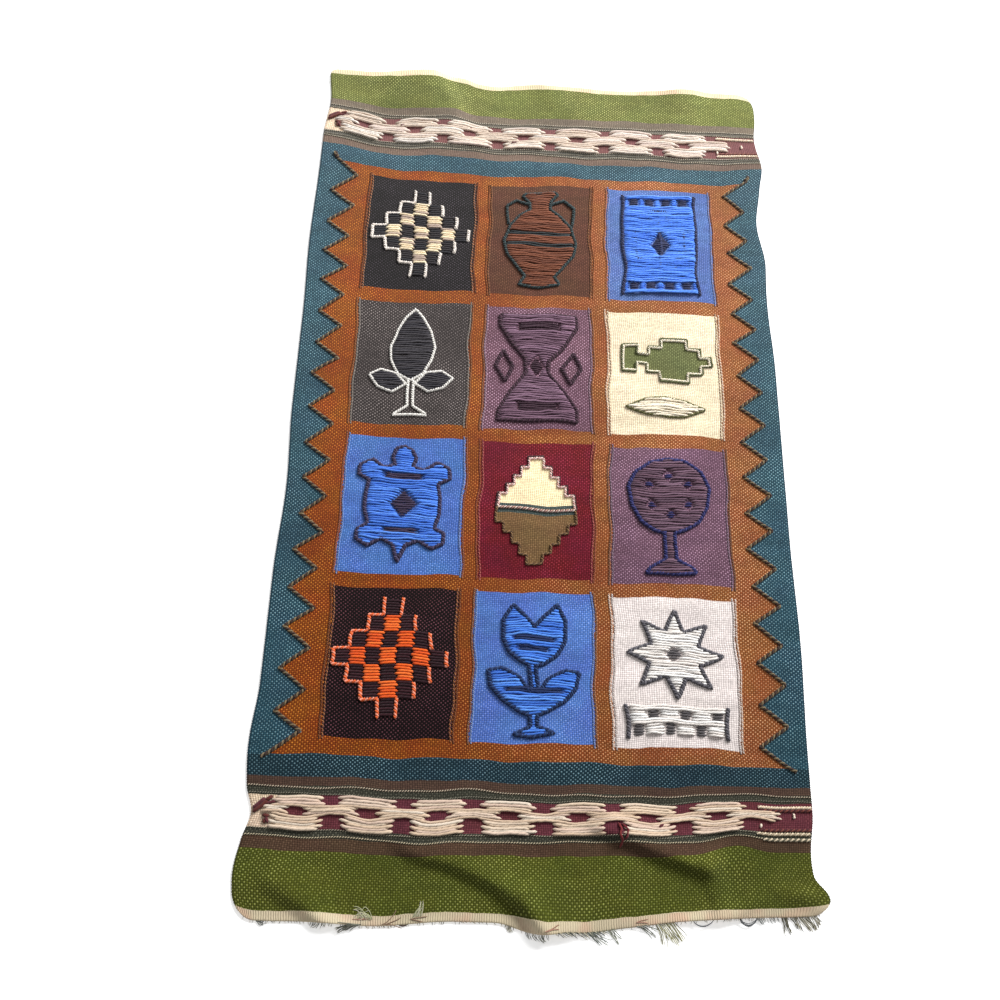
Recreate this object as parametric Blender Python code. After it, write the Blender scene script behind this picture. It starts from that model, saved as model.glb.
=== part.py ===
"""A woven tapestry laid out on the ground: one handwoven cloth, and the warp ends frayed out of its hem.

Lengths are in metres. +Z is up, +Y runs along the warp from the frayed hem to the heading at the
upper edge, and the cloth's face is upward. The origin is on the ground, under the middle of the box
that the whole tapestry fills.

The cloth is described on the loom, where it is a plain rectangle: "across" runs from the left selvedge
to the right one, and "along" from the hem to the heading, both from the middle of the cloth. Two short
tables then say how it lies: PULLS shift the weave in its own plane, and FOLDS lift it off the ground.
"""

import math

import bmesh
import bpy
from mathutils import Vector

# The cloth on the loom
WIDTH = 0.600
LENGTH = 1.090
THICKNESS = 0.003

# The middle of the loomed cloth, measured from the middle of the box round the laid tapestry
LOOM_CENTRE = Vector((-0.0023, 0.0066))

# How finely the cloth is divided. The folds are in a zone at each end.
END_ZONE = 0.150
COLUMNS = 44
END_ROWS = 14
MIDDLE_ROWS = 24

# The frayed warp ends lie just off the hem, joined by a narrow strip of loose fibre
HEM_GAP = 0.0003
FRINGE_THICKNESS = 0.0018
FRINGE_STRIP = 0.0016
FRINGE_STEPS_PER_COLUMN = 4

# Each corner is worn round. Columns: which corner, side across, side along, radius
CORNERS = (
    ("hem left", -1, -1, 0.020),
    ("hem right", 1, -1, 0.014),
    ("heading left", -1, 1, 0.010),
    ("heading right", 1, 1, 0.026),
)

# Where the weave lies off the straight lines of the loom.
# Columns: place, across, along, reach across, reach along, shift across, shift along
PULLS = (
    ("left edge drawn in by the upper band", -0.300, 0.485, 0.100, 0.065, 0.0050, 0.0000),
    ("left edge slack above the middle", -0.300, 0.270, 0.080, 0.120, -0.0025, 0.0000),
    ("left edge drawn in at the middle", -0.300, -0.080, 0.100, 0.110, 0.0040, 0.0000),
    ("left edge slack below the field", -0.300, -0.380, 0.080, 0.070, -0.0050, 0.0000),
    ("left edge drawn in by the lower band", -0.300, -0.449, 0.060, 0.028, 0.0060, 0.0000),
    ("left edge slack by the hem", -0.300, -0.508, 0.080, 0.045, -0.0060, 0.0000),
    ("right edge drawn in by the upper band", 0.300, 0.470, 0.060, 0.035, -0.0030, 0.0000),
    ("right edge slack above the field", 0.300, 0.414, 0.060, 0.036, 0.0045, 0.0000),
    ("right edge drawn in by the first row", 0.300, 0.325, 0.090, 0.070, -0.0090, 0.0000),
    ("right edge drawn in by the second row", 0.300, 0.200, 0.090, 0.100, -0.0035, 0.0000),
    ("right edge slack below the middle", 0.300, -0.250, 0.090, 0.130, 0.0025, 0.0000),
    ("right edge drawn in by the lower stripes", 0.300, -0.490, 0.070, 0.050, -0.0055, 0.0000),
    ("hem corner pulled out on the right", 0.305, -0.532, 0.045, 0.027, 0.0115, 0.0040),
    ("lower right drawn up", 0.300, -0.480, 0.260, 0.130, 0.0000, 0.0105),
    ("hem drawn up on the right", 0.280, -0.560, 0.250, 0.075, 0.0000, 0.0085),
    ("lower stripes drawn up over their fold", 0.215, -0.484, 0.050, 0.030, 0.0000, 0.0065),
    ("hem let down all along", 0.000, -0.560, 9.000, 0.070, 0.0000, -0.0055),
    ("hem sagging at the far left", -0.265, -0.560, 0.085, 0.075, 0.0000, -0.0048),
    ("hem sagging on the left", -0.165, -0.560, 0.090, 0.080, 0.0000, -0.0070),
    ("lower stripes sagging on the left", -0.150, -0.478, 0.200, 0.060, 0.0000, -0.0045),
    ("hem sagging beside its fold", 0.004, -0.555, 0.042, 0.035, 0.0000, -0.0105),
    ("hem sagging past its fold", 0.045, -0.560, 0.055, 0.075, 0.0000, -0.0065),
    ("hem sagging right of the middle", 0.085, -0.560, 0.075, 0.040, 0.0000, -0.0055),
    ("heading drawn up on the left", -0.320, 0.445, 0.135, 0.165, 0.0000, 0.0200),
    ("heading corner drawn up on the left", -0.250, 0.560, 0.110, 0.050, 0.0000, 0.0050),
    ("heading let out all along", 0.000, 0.560, 9.000, 0.050, 0.0000, 0.0055),
    ("heading drawn up over its main fold", -0.150, 0.560, 0.062, 0.048, 0.0000, 0.0080),
    ("heading sagging beside its fold", -0.065, 0.555, 0.060, 0.060, 0.0000, -0.0090),
    ("heading sagging over its middle fold", 0.010, 0.560, 0.045, 0.050, 0.0000, -0.0060),
    ("heading sagging right of the middle", 0.100, 0.560, 0.085, 0.050, 0.0000, -0.0060),
    ("upper band sagging left of the middle", -0.035, 0.485, 0.090, 0.060, 0.0000, -0.0050),
    ("first row sagging left of the middle", -0.075, 0.372, 0.110, 0.045, 0.0000, -0.0045),
    ("upper band drawn up on the right", 0.315, 0.405, 0.080, 0.065, 0.0000, 0.0080),
)

# Soft ridges where the cloth lifts off the ground. The crest runs from a start to an end and may bow
# towards its right, and the side with the shorter reach is the steeper one.
# Columns: place, start across, start along, end across, end along, bow, left reach, right reach,
#          start height, end height
FOLDS = (
    ("hem, left of the middle", -0.130, -0.478, 0.028, -0.552, 0.008, 0.011, 0.055, 0.0040, 0.0085),
    ("hem, right of the middle", 0.080, -0.459, 0.178, -0.498, 0.000, 0.011, 0.045, 0.0052, 0.0068),
    ("hem, far right", 0.165, -0.548, 0.275, -0.527, 0.000, 0.018, 0.022, 0.0040, 0.0030),
    ("hem, far left", -0.262, -0.511, -0.200, -0.556, 0.004, 0.015, 0.034, 0.0030, 0.0050),
    ("heading, left of the middle", -0.168, 0.560, -0.100, 0.430, 0.004, 0.120, 0.034, 0.0125, 0.0030),
    ("heading, middle", 0.004, 0.560, 0.024, 0.500, 0.000, 0.034, 0.040, 0.0050, 0.0010),
    ("heading, right of the middle", 0.204, 0.560, 0.190, 0.480, 0.000, 0.042, 0.046, 0.0070, 0.0010),
)
FOLD_END_REACH = 0.030

# The tufts of warp yarn. Columns: place across, length, half width
TUFTS = (
    ("far left corner", -0.270, 0.010, 0.009),
    ("left", -0.236, 0.005, 0.010),
    ("left, second", -0.196, 0.007, 0.009),
    ("left, third", -0.146, 0.006, 0.009),
    ("left of the middle", -0.094, 0.005, 0.010),
    ("middle, dark", -0.024, 0.012, 0.008),
    ("middle, beside the fold", 0.010, 0.010, 0.008),
    ("right of the middle", 0.056, 0.012, 0.012),
    ("right, curled", 0.092, 0.016, 0.008),
    ("right, longest", 0.150, 0.022, 0.009),
    ("right, short", 0.180, 0.008, 0.008),
    ("right, second", 0.224, 0.014, 0.009),
    ("far right", 0.256, 0.017, 0.008),
    ("far right corner", 0.280, 0.015, 0.009),
)

# Colours of the plain stand-in finishes, linear, with roughness
RUST = (0.33, 0.11, 0.03, 1.0)
WARP_CREAM = (0.72, 0.63, 0.46, 1.0)
YARN_ROUGHNESS = 0.92


def swell(distance, reach):
    """A smooth bump: 1 at no distance, and exactly 0 from the reach outwards."""
    return 0.5 + 0.5 * math.cos(math.pi * min(abs(distance) / reach, 1.0))


def worn_corner(across, along):
    """Draws a point near a corner of the loomed cloth in, so that the corner is round."""
    for _, side_across, side_along, radius in CORNERS:
        past_across = side_across * across - (WIDTH / 2 - radius)
        past_along = side_along * along - (LENGTH / 2 - radius)
        if past_across > 0 and past_along > 0:
            drawn_across = math.sqrt(1 - (past_along / radius) ** 2 / 2) - 1
            drawn_along = math.sqrt(1 - (past_across / radius) ** 2 / 2) - 1
            return (
                across + side_across * past_across * drawn_across,
                along + side_along * past_along * drawn_along,
            )
    return across, along


def fold_height(across, along):
    """How far the underside of the cloth is off the ground at a place on the loomed cloth."""
    height = 0.0
    here = Vector((across, along))
    for _, ax, ay, bx, by, bow, left, right, start_height, end_height in FOLDS:
        start = Vector((ax, ay))
        crest = Vector((bx, by)) - start
        run = crest.normalized()
        aside = Vector((-run.y, run.x)) if run.y < 0 else Vector((run.y, -run.x))
        travelled = (here - start).dot(run)
        share = min(max(travelled / crest.length, 0.0), 1.0)
        past_end = travelled - share * crest.length
        off_crest = (here - start).dot(aside) - 4 * bow * share * (1 - share)
        crest_height = start_height + (end_height - start_height) * share
        height += (
            crest_height
            * swell(off_crest, right if off_crest > 0 else left)
            * swell(past_end, FOLD_END_REACH)
        )
    return height


def laid(across, along):
    """Where a place on the loomed cloth's underside lies, with the tapestry laid out."""
    x, y = worn_corner(across, along)
    x += LOOM_CENTRE.x
    y += LOOM_CENTRE.y
    for _, at_across, at_along, reach_across, reach_along, shift_across, shift_along in PULLS:
        pull = swell(across - at_across, reach_across) * swell(along - at_along, reach_along)
        x += pull * shift_across
        y += pull * shift_along
    return Vector((x, y, fold_height(across, along)))


def row_station(share):
    """How far along the cloth a row of the mesh is, for its share of the rows from hem to heading."""
    rows = 2 * END_ROWS + MIDDLE_ROWS
    row = share * rows
    near_hem = min(row, END_ROWS) / END_ROWS
    in_middle = min(max(row - END_ROWS, 0), MIDDLE_ROWS) / MIDDLE_ROWS
    near_heading = max(row - END_ROWS - MIDDLE_ROWS, 0) / END_ROWS
    middle = LENGTH - 2 * END_ZONE
    return -LENGTH / 2 + END_ZONE * (near_hem + near_heading) + middle * in_middle


def yarn_finish(name, colour):
    finish = bpy.data.materials.new(name)
    finish.use_nodes = True
    shader = finish.node_tree.nodes["Principled BSDF"]
    shader.inputs["Base Color"].default_value = colour
    shader.inputs["Roughness"].default_value = YARN_ROUGHNESS
    shader.inputs["Metallic"].default_value = 0.0
    return finish


def add_sheet(name, collection, finish, columns, rows, place, thickness):
    """Makes a sheet from a grid whose underside `place` lays out, thickened straight up."""
    sheet = bmesh.new()
    bmesh.ops.create_grid(sheet, x_segments=columns, y_segments=rows, size=0.5)
    for vert in sheet.verts:
        vert.co = place(vert.co.x + 0.5, vert.co.y + 0.5)
    raised = bmesh.ops.extrude_face_region(sheet, geom=sheet.faces[:])["geom"]
    top = [item for item in raised if isinstance(item, bmesh.types.BMVert)]
    bmesh.ops.translate(sheet, verts=top, vec=(0, 0, thickness))
    bmesh.ops.recalc_face_normals(sheet, faces=sheet.faces[:])
    mesh = bpy.data.meshes.new(name)
    sheet.to_mesh(mesh)
    sheet.free()
    mesh.shade_smooth()
    mesh.set_sharp_from_angle(angle=math.radians(40))
    mesh.materials.append(finish)
    thing = bpy.data.objects.new(name, mesh)
    collection.objects.link(thing)
    return thing


def add_cloth(collection):
    """The one handwoven cloth, with its cream heading and hem strips."""

    def place(share_across, share_along):
        return laid((share_across - 0.5) * WIDTH, row_station(share_along))

    rows = 2 * END_ROWS + MIDDLE_ROWS
    finish = yarn_finish("woven_cloth", RUST)
    return add_sheet("cloth", collection, finish, COLUMNS, rows, place, THICKNESS)


def add_fringe(collection):
    """The comb of frayed warp ends, following the same facets as the hem."""
    column = WIDTH / COLUMNS
    radii = {(side_across, side_along): radius for _, side_across, side_along, radius in CORNERS}
    first = math.ceil(radii[-1, -1] / column)
    last = COLUMNS - math.ceil(radii[1, -1] / column)
    steps = (last - first) * FRINGE_STEPS_PER_COLUMN

    def place(share_across, share_along):
        station = first + share_across * (last - first)
        whole = min(int(station + 1e-6), last - 1)
        across = station * column - WIDTH / 2
        before = laid(whole * column - WIDTH / 2, -LENGTH / 2)
        after = laid((whole + 1) * column - WIDTH / 2, -LENGTH / 2)
        spot = before.lerp(after, station - whole)
        reach = FRINGE_STRIP + sum(
            length * swell(across - at, half_width) for _, at, length, half_width in TUFTS
        )
        spot.y -= HEM_GAP + (1 - share_along) * reach
        return spot

    finish = yarn_finish("warp_yarn", WARP_CREAM)
    return add_sheet("fringe", collection, finish, steps, 1, place, FRINGE_THICKNESS)


def clear_scene():
    for thing in list(bpy.data.objects):
        bpy.data.objects.remove(thing, do_unlink=True)


def main():
    clear_scene()
    tapestry = bpy.data.collections.new("woven_tapestry")
    bpy.context.scene.collection.children.link(tapestry)
    add_cloth(tapestry)
    add_fringe(tapestry)


main()
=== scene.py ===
"""A handwoven tapestry laid out on the ground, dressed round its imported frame.

The cloth and its yarns are made flat, as they come off the loom: "across" runs from the left selvedge to
the right one and "along" from the frayed hem to the heading, both from the middle of the cloth, and the
cloth's underside is at height 0. Each piece is then laid out on the ground as the cloth lies. Metres.
"""

import math
import random

import bmesh
import bpy
import numpy as np
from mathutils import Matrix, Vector


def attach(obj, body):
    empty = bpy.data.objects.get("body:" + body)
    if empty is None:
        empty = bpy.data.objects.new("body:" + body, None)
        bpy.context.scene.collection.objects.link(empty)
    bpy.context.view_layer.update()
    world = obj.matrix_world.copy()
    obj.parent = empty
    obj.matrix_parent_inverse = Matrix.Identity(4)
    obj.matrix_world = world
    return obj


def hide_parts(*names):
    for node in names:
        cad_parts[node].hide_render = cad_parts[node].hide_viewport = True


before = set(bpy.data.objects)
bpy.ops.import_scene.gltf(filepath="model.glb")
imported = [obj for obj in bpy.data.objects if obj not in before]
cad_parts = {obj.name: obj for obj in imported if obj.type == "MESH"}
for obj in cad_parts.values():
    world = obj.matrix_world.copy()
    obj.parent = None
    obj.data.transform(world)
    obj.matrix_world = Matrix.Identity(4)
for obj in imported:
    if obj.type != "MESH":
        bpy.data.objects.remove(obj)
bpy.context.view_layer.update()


# ---- The woven cloth ---------------------------------------------------------------------------------
# One length of plain weave: thick dyed weft beaten down on a thin cream cotton warp, which shows as dots.
# The stripes run from selvedge to selvedge. The rust field, its zigzag edges and the twelve squares are
# tapestry-woven, each colour turning back where the next begins. It lies loose, with folds at both ends.

WIDTH = 0.600
LENGTH = 1.090
THICKNESS = 0.003
LOOM_CENTRE = Vector((-0.0023, 0.0066))
CLOTH_STEP = 0.0040
RIM_STEPS = (0.0, 0.0003, 0.0008, 0.0015, 0.0030)
COCKLE = 0.0006
WANDER = 0.0013
DROOP = 0.012

# Each corner is worn round. Columns: which corner, side across, side along, radius
CORNERS = (
    ("hem left", -1, -1, 0.020),
    ("hem right", 1, -1, 0.014),
    ("heading left", -1, 1, 0.010),
    ("heading right", 1, 1, 0.026),
)

# Where the weave lies off the straight lines of the loom.
# Columns: place, across, along, reach across, reach along, shift across, shift along
PULLS = (
    ("left edge drawn in by the upper band", -0.300, 0.485, 0.100, 0.065, 0.0050, 0.0000),
    ("left edge slack above the middle", -0.300, 0.270, 0.080, 0.120, -0.0025, 0.0000),
    ("left edge drawn in at the middle", -0.300, -0.080, 0.100, 0.110, 0.0040, 0.0000),
    ("left edge slack below the field", -0.300, -0.380, 0.080, 0.070, -0.0050, 0.0000),
    ("left edge drawn in by the lower band", -0.300, -0.449, 0.060, 0.028, 0.0060, 0.0000),
    ("left edge slack by the hem", -0.300, -0.508, 0.080, 0.045, -0.0060, 0.0000),
    ("right edge drawn in by the upper band", 0.300, 0.470, 0.060, 0.035, -0.0030, 0.0000),
    ("right edge slack above the field", 0.300, 0.414, 0.060, 0.036, 0.0045, 0.0000),
    ("right edge drawn in by the first row", 0.300, 0.325, 0.090, 0.070, -0.0090, 0.0000),
    ("right edge drawn in by the second row", 0.300, 0.200, 0.090, 0.100, -0.0035, 0.0000),
    ("right edge slack below the middle", 0.300, -0.250, 0.090, 0.130, 0.0025, 0.0000),
    ("right edge drawn in by the lower stripes", 0.300, -0.490, 0.070, 0.050, -0.0055, 0.0000),
    ("hem corner pulled out on the right", 0.305, -0.532, 0.045, 0.027, 0.0115, 0.0040),
    ("lower right drawn up", 0.300, -0.480, 0.260, 0.130, 0.0000, 0.0105),
    ("hem drawn up on the right", 0.280, -0.560, 0.250, 0.075, 0.0000, 0.0085),
    ("lower stripes drawn up over their fold", 0.215, -0.484, 0.050, 0.030, 0.0000, 0.0065),
    ("hem let down all along", 0.000, -0.560, 9.000, 0.070, 0.0000, -0.0055),
    ("hem sagging at the far left", -0.265, -0.560, 0.085, 0.075, 0.0000, -0.0048),
    ("hem sagging on the left", -0.165, -0.560, 0.090, 0.080, 0.0000, -0.0070),
    ("lower stripes sagging on the left", -0.150, -0.478, 0.200, 0.060, 0.0000, -0.0045),
    ("hem sagging beside its fold", 0.004, -0.555, 0.042, 0.035, 0.0000, -0.0105),
    ("hem sagging past its fold", 0.045, -0.560, 0.055, 0.075, 0.0000, -0.0065),
    ("hem sagging right of the middle", 0.085, -0.560, 0.075, 0.040, 0.0000, -0.0055),
    ("heading drawn up on the left", -0.320, 0.445, 0.135, 0.165, 0.0000, 0.0200),
    ("heading corner drawn up on the left", -0.250, 0.560, 0.110, 0.050, 0.0000, 0.0050),
    ("heading let out all along", 0.000, 0.560, 9.000, 0.050, 0.0000, 0.0055),
    ("heading drawn up over its main fold", -0.150, 0.560, 0.062, 0.048, 0.0000, 0.0080),
    ("heading sagging beside its fold", -0.065, 0.555, 0.060, 0.060, 0.0000, -0.0090),
    ("heading sagging over its middle fold", 0.010, 0.560, 0.045, 0.050, 0.0000, -0.0060),
    ("heading sagging right of the middle", 0.100, 0.560, 0.085, 0.050, 0.0000, -0.0060),
    ("upper band sagging left of the middle", -0.035, 0.485, 0.090, 0.060, 0.0000, -0.0050),
    ("first row sagging left of the middle", -0.075, 0.372, 0.110, 0.045, 0.0000, -0.0045),
    ("upper band drawn up on the right", 0.315, 0.405, 0.080, 0.065, 0.0000, 0.0080),
)

# Soft ridges where the cloth lifts off the ground. The crest runs from a start to an end and may bow
# towards its right, and the side with the shorter reach is the steeper one.
# Columns: place, start across, start along, end across, end along, bow, left reach, right reach,
#          start height, end height
FOLDS = (
    ("hem, left of the middle", -0.130, -0.478, 0.028, -0.552, 0.008, 0.011, 0.055, 0.0040, 0.0085),
    ("hem, right of the middle", 0.080, -0.459, 0.178, -0.498, 0.000, 0.011, 0.045, 0.0052, 0.0068),
    ("hem, far right", 0.165, -0.548, 0.275, -0.527, 0.000, 0.018, 0.022, 0.0040, 0.0030),
    ("hem, far left", -0.262, -0.511, -0.200, -0.556, 0.004, 0.015, 0.034, 0.0030, 0.0050),
    ("heading, left of the middle", -0.168, 0.560, -0.100, 0.430, 0.004, 0.120, 0.034, 0.0125, 0.0030),
    ("heading, middle", 0.004, 0.560, 0.024, 0.500, 0.000, 0.034, 0.040, 0.0050, 0.0010),
    ("heading, right of the middle", 0.204, 0.560, 0.190, 0.480, 0.000, 0.042, 0.046, 0.0070, 0.0010),
)
FOLD_END_REACH = 0.030

# Sharper creases on the steep sides of the folds, in the same columns
CREASES = (
    ("foot of the left fold", -0.002, -0.532, 0.016, -0.560, 0.000, 0.010, 0.026, 0.0030, 0.0030),
    ("soft end of the right fold", 0.186, -0.505, 0.192, -0.530, 0.000, 0.011, 0.024, 0.0038, 0.0026),
    ("crest of the left fold", -0.112, -0.485, 0.006, -0.538, 0.007, 0.009, 0.024, 0.0024, 0.0032),
    ("crest of the right fold", 0.084, -0.460, 0.166, -0.493, 0.000, 0.009, 0.022, 0.0030, 0.0030),
    ("far left corner", -0.254, -0.524, -0.206, -0.546, 0.000, 0.009, 0.020, 0.0028, 0.0036),
    ("hollow by the right corner", 0.196, -0.545, 0.262, -0.512, 0.003, 0.020, 0.010, 0.0024, 0.0014),
    ("far right corner", 0.262, -0.520, 0.290, -0.536, 0.000, 0.010, 0.016, 0.0018, 0.0022),
    ("heading, beside its main fold", -0.104, 0.560, -0.128, 0.470, 0.000, 0.030, 0.018, 0.0026, 0.0012),
)


def swell(distance, reach):
    """A smooth bump: 1 at no distance, and 0 from the reach outwards."""
    return 0.5 + 0.5 * np.cos(np.pi * np.minimum(np.abs(distance) / reach, 1.0))


def fold_height(across, along):
    """How far the underside of the cloth is off the ground at places on the loomed cloth."""
    height = np.zeros_like(across)
    for _, ax, ay, bx, by, bow, left, right, start_height, end_height in FOLDS + CREASES:
        crest = math.hypot(bx - ax, by - ay)
        run_x = (bx - ax) / crest
        run_y = (by - ay) / crest
        rightward = -1 if run_y < 0 else 1
        travelled = (across - ax) * run_x + (along - ay) * run_y
        share = np.clip(travelled / crest, 0, 1)
        past_end = travelled - share * crest
        off_crest = rightward * ((across - ax) * run_y - (along - ay) * run_x)
        off_crest -= 4 * bow * share * (1 - share)
        reach = np.where(off_crest > 0, right, left)
        crest_height = start_height + (end_height - start_height) * share
        height += crest_height * swell(off_crest, reach) * swell(past_end, FOLD_END_REACH)
    return height


def cockle(across, along):
    """The small puckers that uneven beating leaves all over a handwoven cloth."""
    waves = np.sin(71 * across + 2.1 * np.sin(38 * along)) * np.sin(83 * along + 1.7 * np.sin(47 * across))
    waves += 0.6 * np.sin(143 * across + 61 * along) * np.sin(127 * along - 52 * across)
    return COCKLE * (0.5 + 0.31 * waves)


def wander(across, along):
    """How far the rows and the warp ends stray inside the cloth. Nothing strays at its edges."""
    inside = WANDER * (1 - (2 * across / WIDTH) ** 6) * (1 - (2 * along / LENGTH) ** 10)
    aside = np.sin(52 * along + 1.9 * np.sin(21 * across)) + 0.5 * np.sin(117 * along + 40 * across)
    ahead = np.sin(46 * across + 2.2 * np.sin(17 * along)) + 0.5 * np.sin(103 * across - 35 * along)
    return aside * inside, ahead * inside


def lay_out(points):
    """Moves points on the loom to where they lie on the ground. One past an edge droops from that edge."""
    across = np.clip(points[:, 0], -WIDTH / 2, WIDTH / 2)
    along = np.clip(points[:, 1], -LENGTH / 2, LENGTH / 2)
    laid = points.astype(float)
    for _, side_across, side_along, radius in CORNERS:
        past_across = side_across * across - (WIDTH / 2 - radius)
        past_along = side_along * along - (LENGTH / 2 - radius)
        inside = (past_across > 0) & (past_along > 0)
        drawn_across = np.sqrt(1 - (np.where(inside, past_along, 0) / radius) ** 2 / 2) - 1
        drawn_along = np.sqrt(1 - (np.where(inside, past_across, 0) / radius) ** 2 / 2) - 1
        laid[:, 0] += side_across * past_across * drawn_across
        laid[:, 1] += side_along * past_along * drawn_along
    for _, at_across, at_along, reach_across, reach_along, shift_across, shift_along in PULLS:
        pull = swell(across - at_across, reach_across) * swell(along - at_along, reach_along)
        laid[:, 0] += pull * shift_across
        laid[:, 1] += pull * shift_along
    aside, ahead = wander(across, along)
    laid[:, 0] += aside
    laid[:, 1] += ahead
    laid[:, :2] += LOOM_CENTRE
    past = np.hypot(points[:, 0] - across, points[:, 1] - along)
    laid[:, 2] += (fold_height(across, along) + cockle(across, along)) * np.exp(-past / DROOP)
    return laid


def stations(length):
    """Where the rows of the cloth's mesh are: evenly spaced, and close together round each rim."""
    rim = np.array(RIM_STEPS)
    inner = length / 2 - 2 * rim[-1]
    steps = round(2 * inner / CLOTH_STEP)
    middle = np.linspace(-inner, inner, steps + 1)
    return np.concatenate((-length / 2 + rim, middle, length / 2 - rim[::-1]))


def add_piece(name, points, faces, finishes):
    """A plain mesh object at the origin, from points that are already laid out."""
    mesh = bpy.data.meshes.new(name)
    mesh.from_pydata(points.tolist(), [], faces.tolist())
    for finish in finishes:
        mesh.materials.append(finish)
    mesh.shade_smooth()
    piece = bpy.data.objects.new(name, mesh)
    bpy.context.scene.collection.objects.link(piece)
    return piece


def write_uv(mesh, name, places):
    """Gives each corner of the mesh the place on the named map that its vertex has."""
    corners = np.empty(len(mesh.loops), np.int32)
    mesh.loops.foreach_get("vertex_index", corners)
    layer = mesh.uv_layers.new(name=name)
    layer.uv.foreach_set("vector", places[corners].astype(np.float32).ravel())


def weave_cloth(finish):
    """The cloth as one closed sheet with a rounded rim, face and back 3 mm apart."""
    across, along = np.meshgrid(stations(WIDTH), stations(LENGTH), indexing="ij")
    from_rim = np.minimum(WIDTH / 2 - np.abs(across), LENGTH / 2 - np.abs(along))
    flat = 1 - np.minimum(from_rim / (THICKNESS / 2), 1)
    half = THICKNESS / 2 * np.sqrt(1 - flat**2)
    columns, rows = across.shape
    face = np.stack((across, along, THICKNESS / 2 + half), -1).reshape(-1, 3)
    back = np.stack((across, along, THICKNESS / 2 - half), -1).reshape(-1, 3)
    corner = (np.arange(columns - 1)[:, None] * rows + np.arange(rows - 1)).ravel()
    quads = np.stack((corner, corner + rows, corner + rows + 1, corner + 1), 1)
    loomed = np.concatenate((face, back))
    faces = np.concatenate((quads, quads[:, ::-1] + len(face)))
    cloth = add_piece("woven_cloth", lay_out(loomed), faces, [finish])
    write_uv(cloth.data, "loom", loomed[:, :2])
    on_map = (loomed[:, :2] + (WIDTH / 2, LENGTH / 2)) / LENGTH
    on_map[len(face) :] = on_map[len(face) :] * 0.79 + (0.56, 0.0)
    write_uv(cloth.data, "OFBake", on_map * 0.998 + 0.001)
    shell = bmesh.new()
    shell.from_mesh(cloth.data)
    bmesh.ops.remove_doubles(shell, verts=shell.verts[:], dist=1e-7)
    shell.to_mesh(cloth.data)
    shell.free()
    return cloth


def dye(hue):
    """A linear colour from the usual six hex digits."""
    shares = [int(hue[i : i + 2], 16) / 255 for i in (0, 2, 4)]
    linear = [s / 12.92 if s <= 0.04045 else ((s + 0.055) / 1.055) ** 2.4 for s in shares]
    return (*linear, 1.0)


# Stripes of weft from the hem up. Columns: name, where it starts along, weft, warp dots, how much they show
STRIPES = (
    ("hem", -0.5450, "d2c3a4", "e4d6ba", 0.30),
    ("lower green", -0.5366, "474c11", "8f9350", 0.68),
    ("lower brown", -0.4840, "4b3729", "75604c", 0.30),
    ("lower dark ground", -0.4712, "38382f", "7a7868", 0.40),
    ("lower chain", -0.4630, "602d35", "835256", 0.25),
    ("lower dark ground again", -0.4310, "38382f", "7a7868", 0.40),
    ("lower brown again", -0.4215, "4a372e", "75604c", 0.30),
    ("lower teal", -0.4120, "132a34", "6e8c95", 0.72),
    ("teal", -0.3900, "1e3d4b", "7899a1", 0.72),
    ("upper brown", 0.4115, "68564b", "8d7a6c", 0.30),
    ("upper dark ground", 0.4215, "59564f", "8d8a7e", 0.25),
    ("upper chain", 0.4315, "6e4444", "8d6664", 0.15),
    ("upper dark ground again", 0.4700, "5b564e", "8d8a7e", 0.20),
    ("taupe", 0.4770, "695d50", "8a7d6e", 0.30),
    # The upper green is lighter than the lower green: partly its own dye, partly painted light brightening
    # the heading end
    ("upper green", 0.4890, "585e27", "a4a468", 0.85),
    ("heading", 0.5370, "dccfab", "e8dcba", 0.30),
)

# The field inside the teal, and its zigzag edges: how far out the points reach and how far apart they are
FIELD_TOP = 0.3870
FIELD_BOTTOM = -0.3890
RUST = ("75340b", "c47a2e", 0.66)
# A lighter, paler rust that the field turns to towards its right side
RIGHT_SIDE_RUST = ("7f4520", "d2a278", 0.66)
OUTER_POINT = 0.279
INNER_POINT = 0.249
FIRST_POINT = 0.3910
POINT_PITCH = 0.04588
POINTS = 18

# The squares. Columns of them, left edge and right edge; rows of them, lower edge and upper edge
SQUARE_COLUMNS = ((-0.230, -0.087), (-0.068, 0.067), (0.088, 0.229))
SQUARE_ROWS = ((0.198, 0.372), (0.006, 0.179), (-0.184, -0.012), (-0.370, -0.201))

# What each square's ground is woven in. Columns: name, column, row, weft, warp dots, how much they show
GROUNDS = (
    ("aubergine, top left", 0, 0, "060508", "4a424a", 0.72),
    ("brown, top middle", 1, 0, "4b2a1c", "7a5542", 0.55),
    ("blue, top right", 2, 0, "46619a", "8a97be", 0.50),
    ("charcoal", 0, 1, "302a2a", "827976", 0.76),
    ("mauve, middle", 1, 1, "5e3e4c", "b08ea0", 0.82),
    ("cream", 2, 1, "e0cfb0", "f0e4cc", 0.60),
    ("blue, left", 0, 2, "4065ab", "86a0d8", 0.50),
    ("maroon", 1, 2, "5e091a", "953444", 0.60),
    ("mauve, right", 2, 2, "604253", "a8869a", 0.75),
    ("aubergine, bottom left", 0, 3, "0c0305", "693f47", 0.72),
    ("blue, bottom middle", 1, 3, "4a6cb6", "8ea4da", 0.50),
    ("white", 2, 3, "ddd2ce", "e9e1de", 0.50),
)

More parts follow.
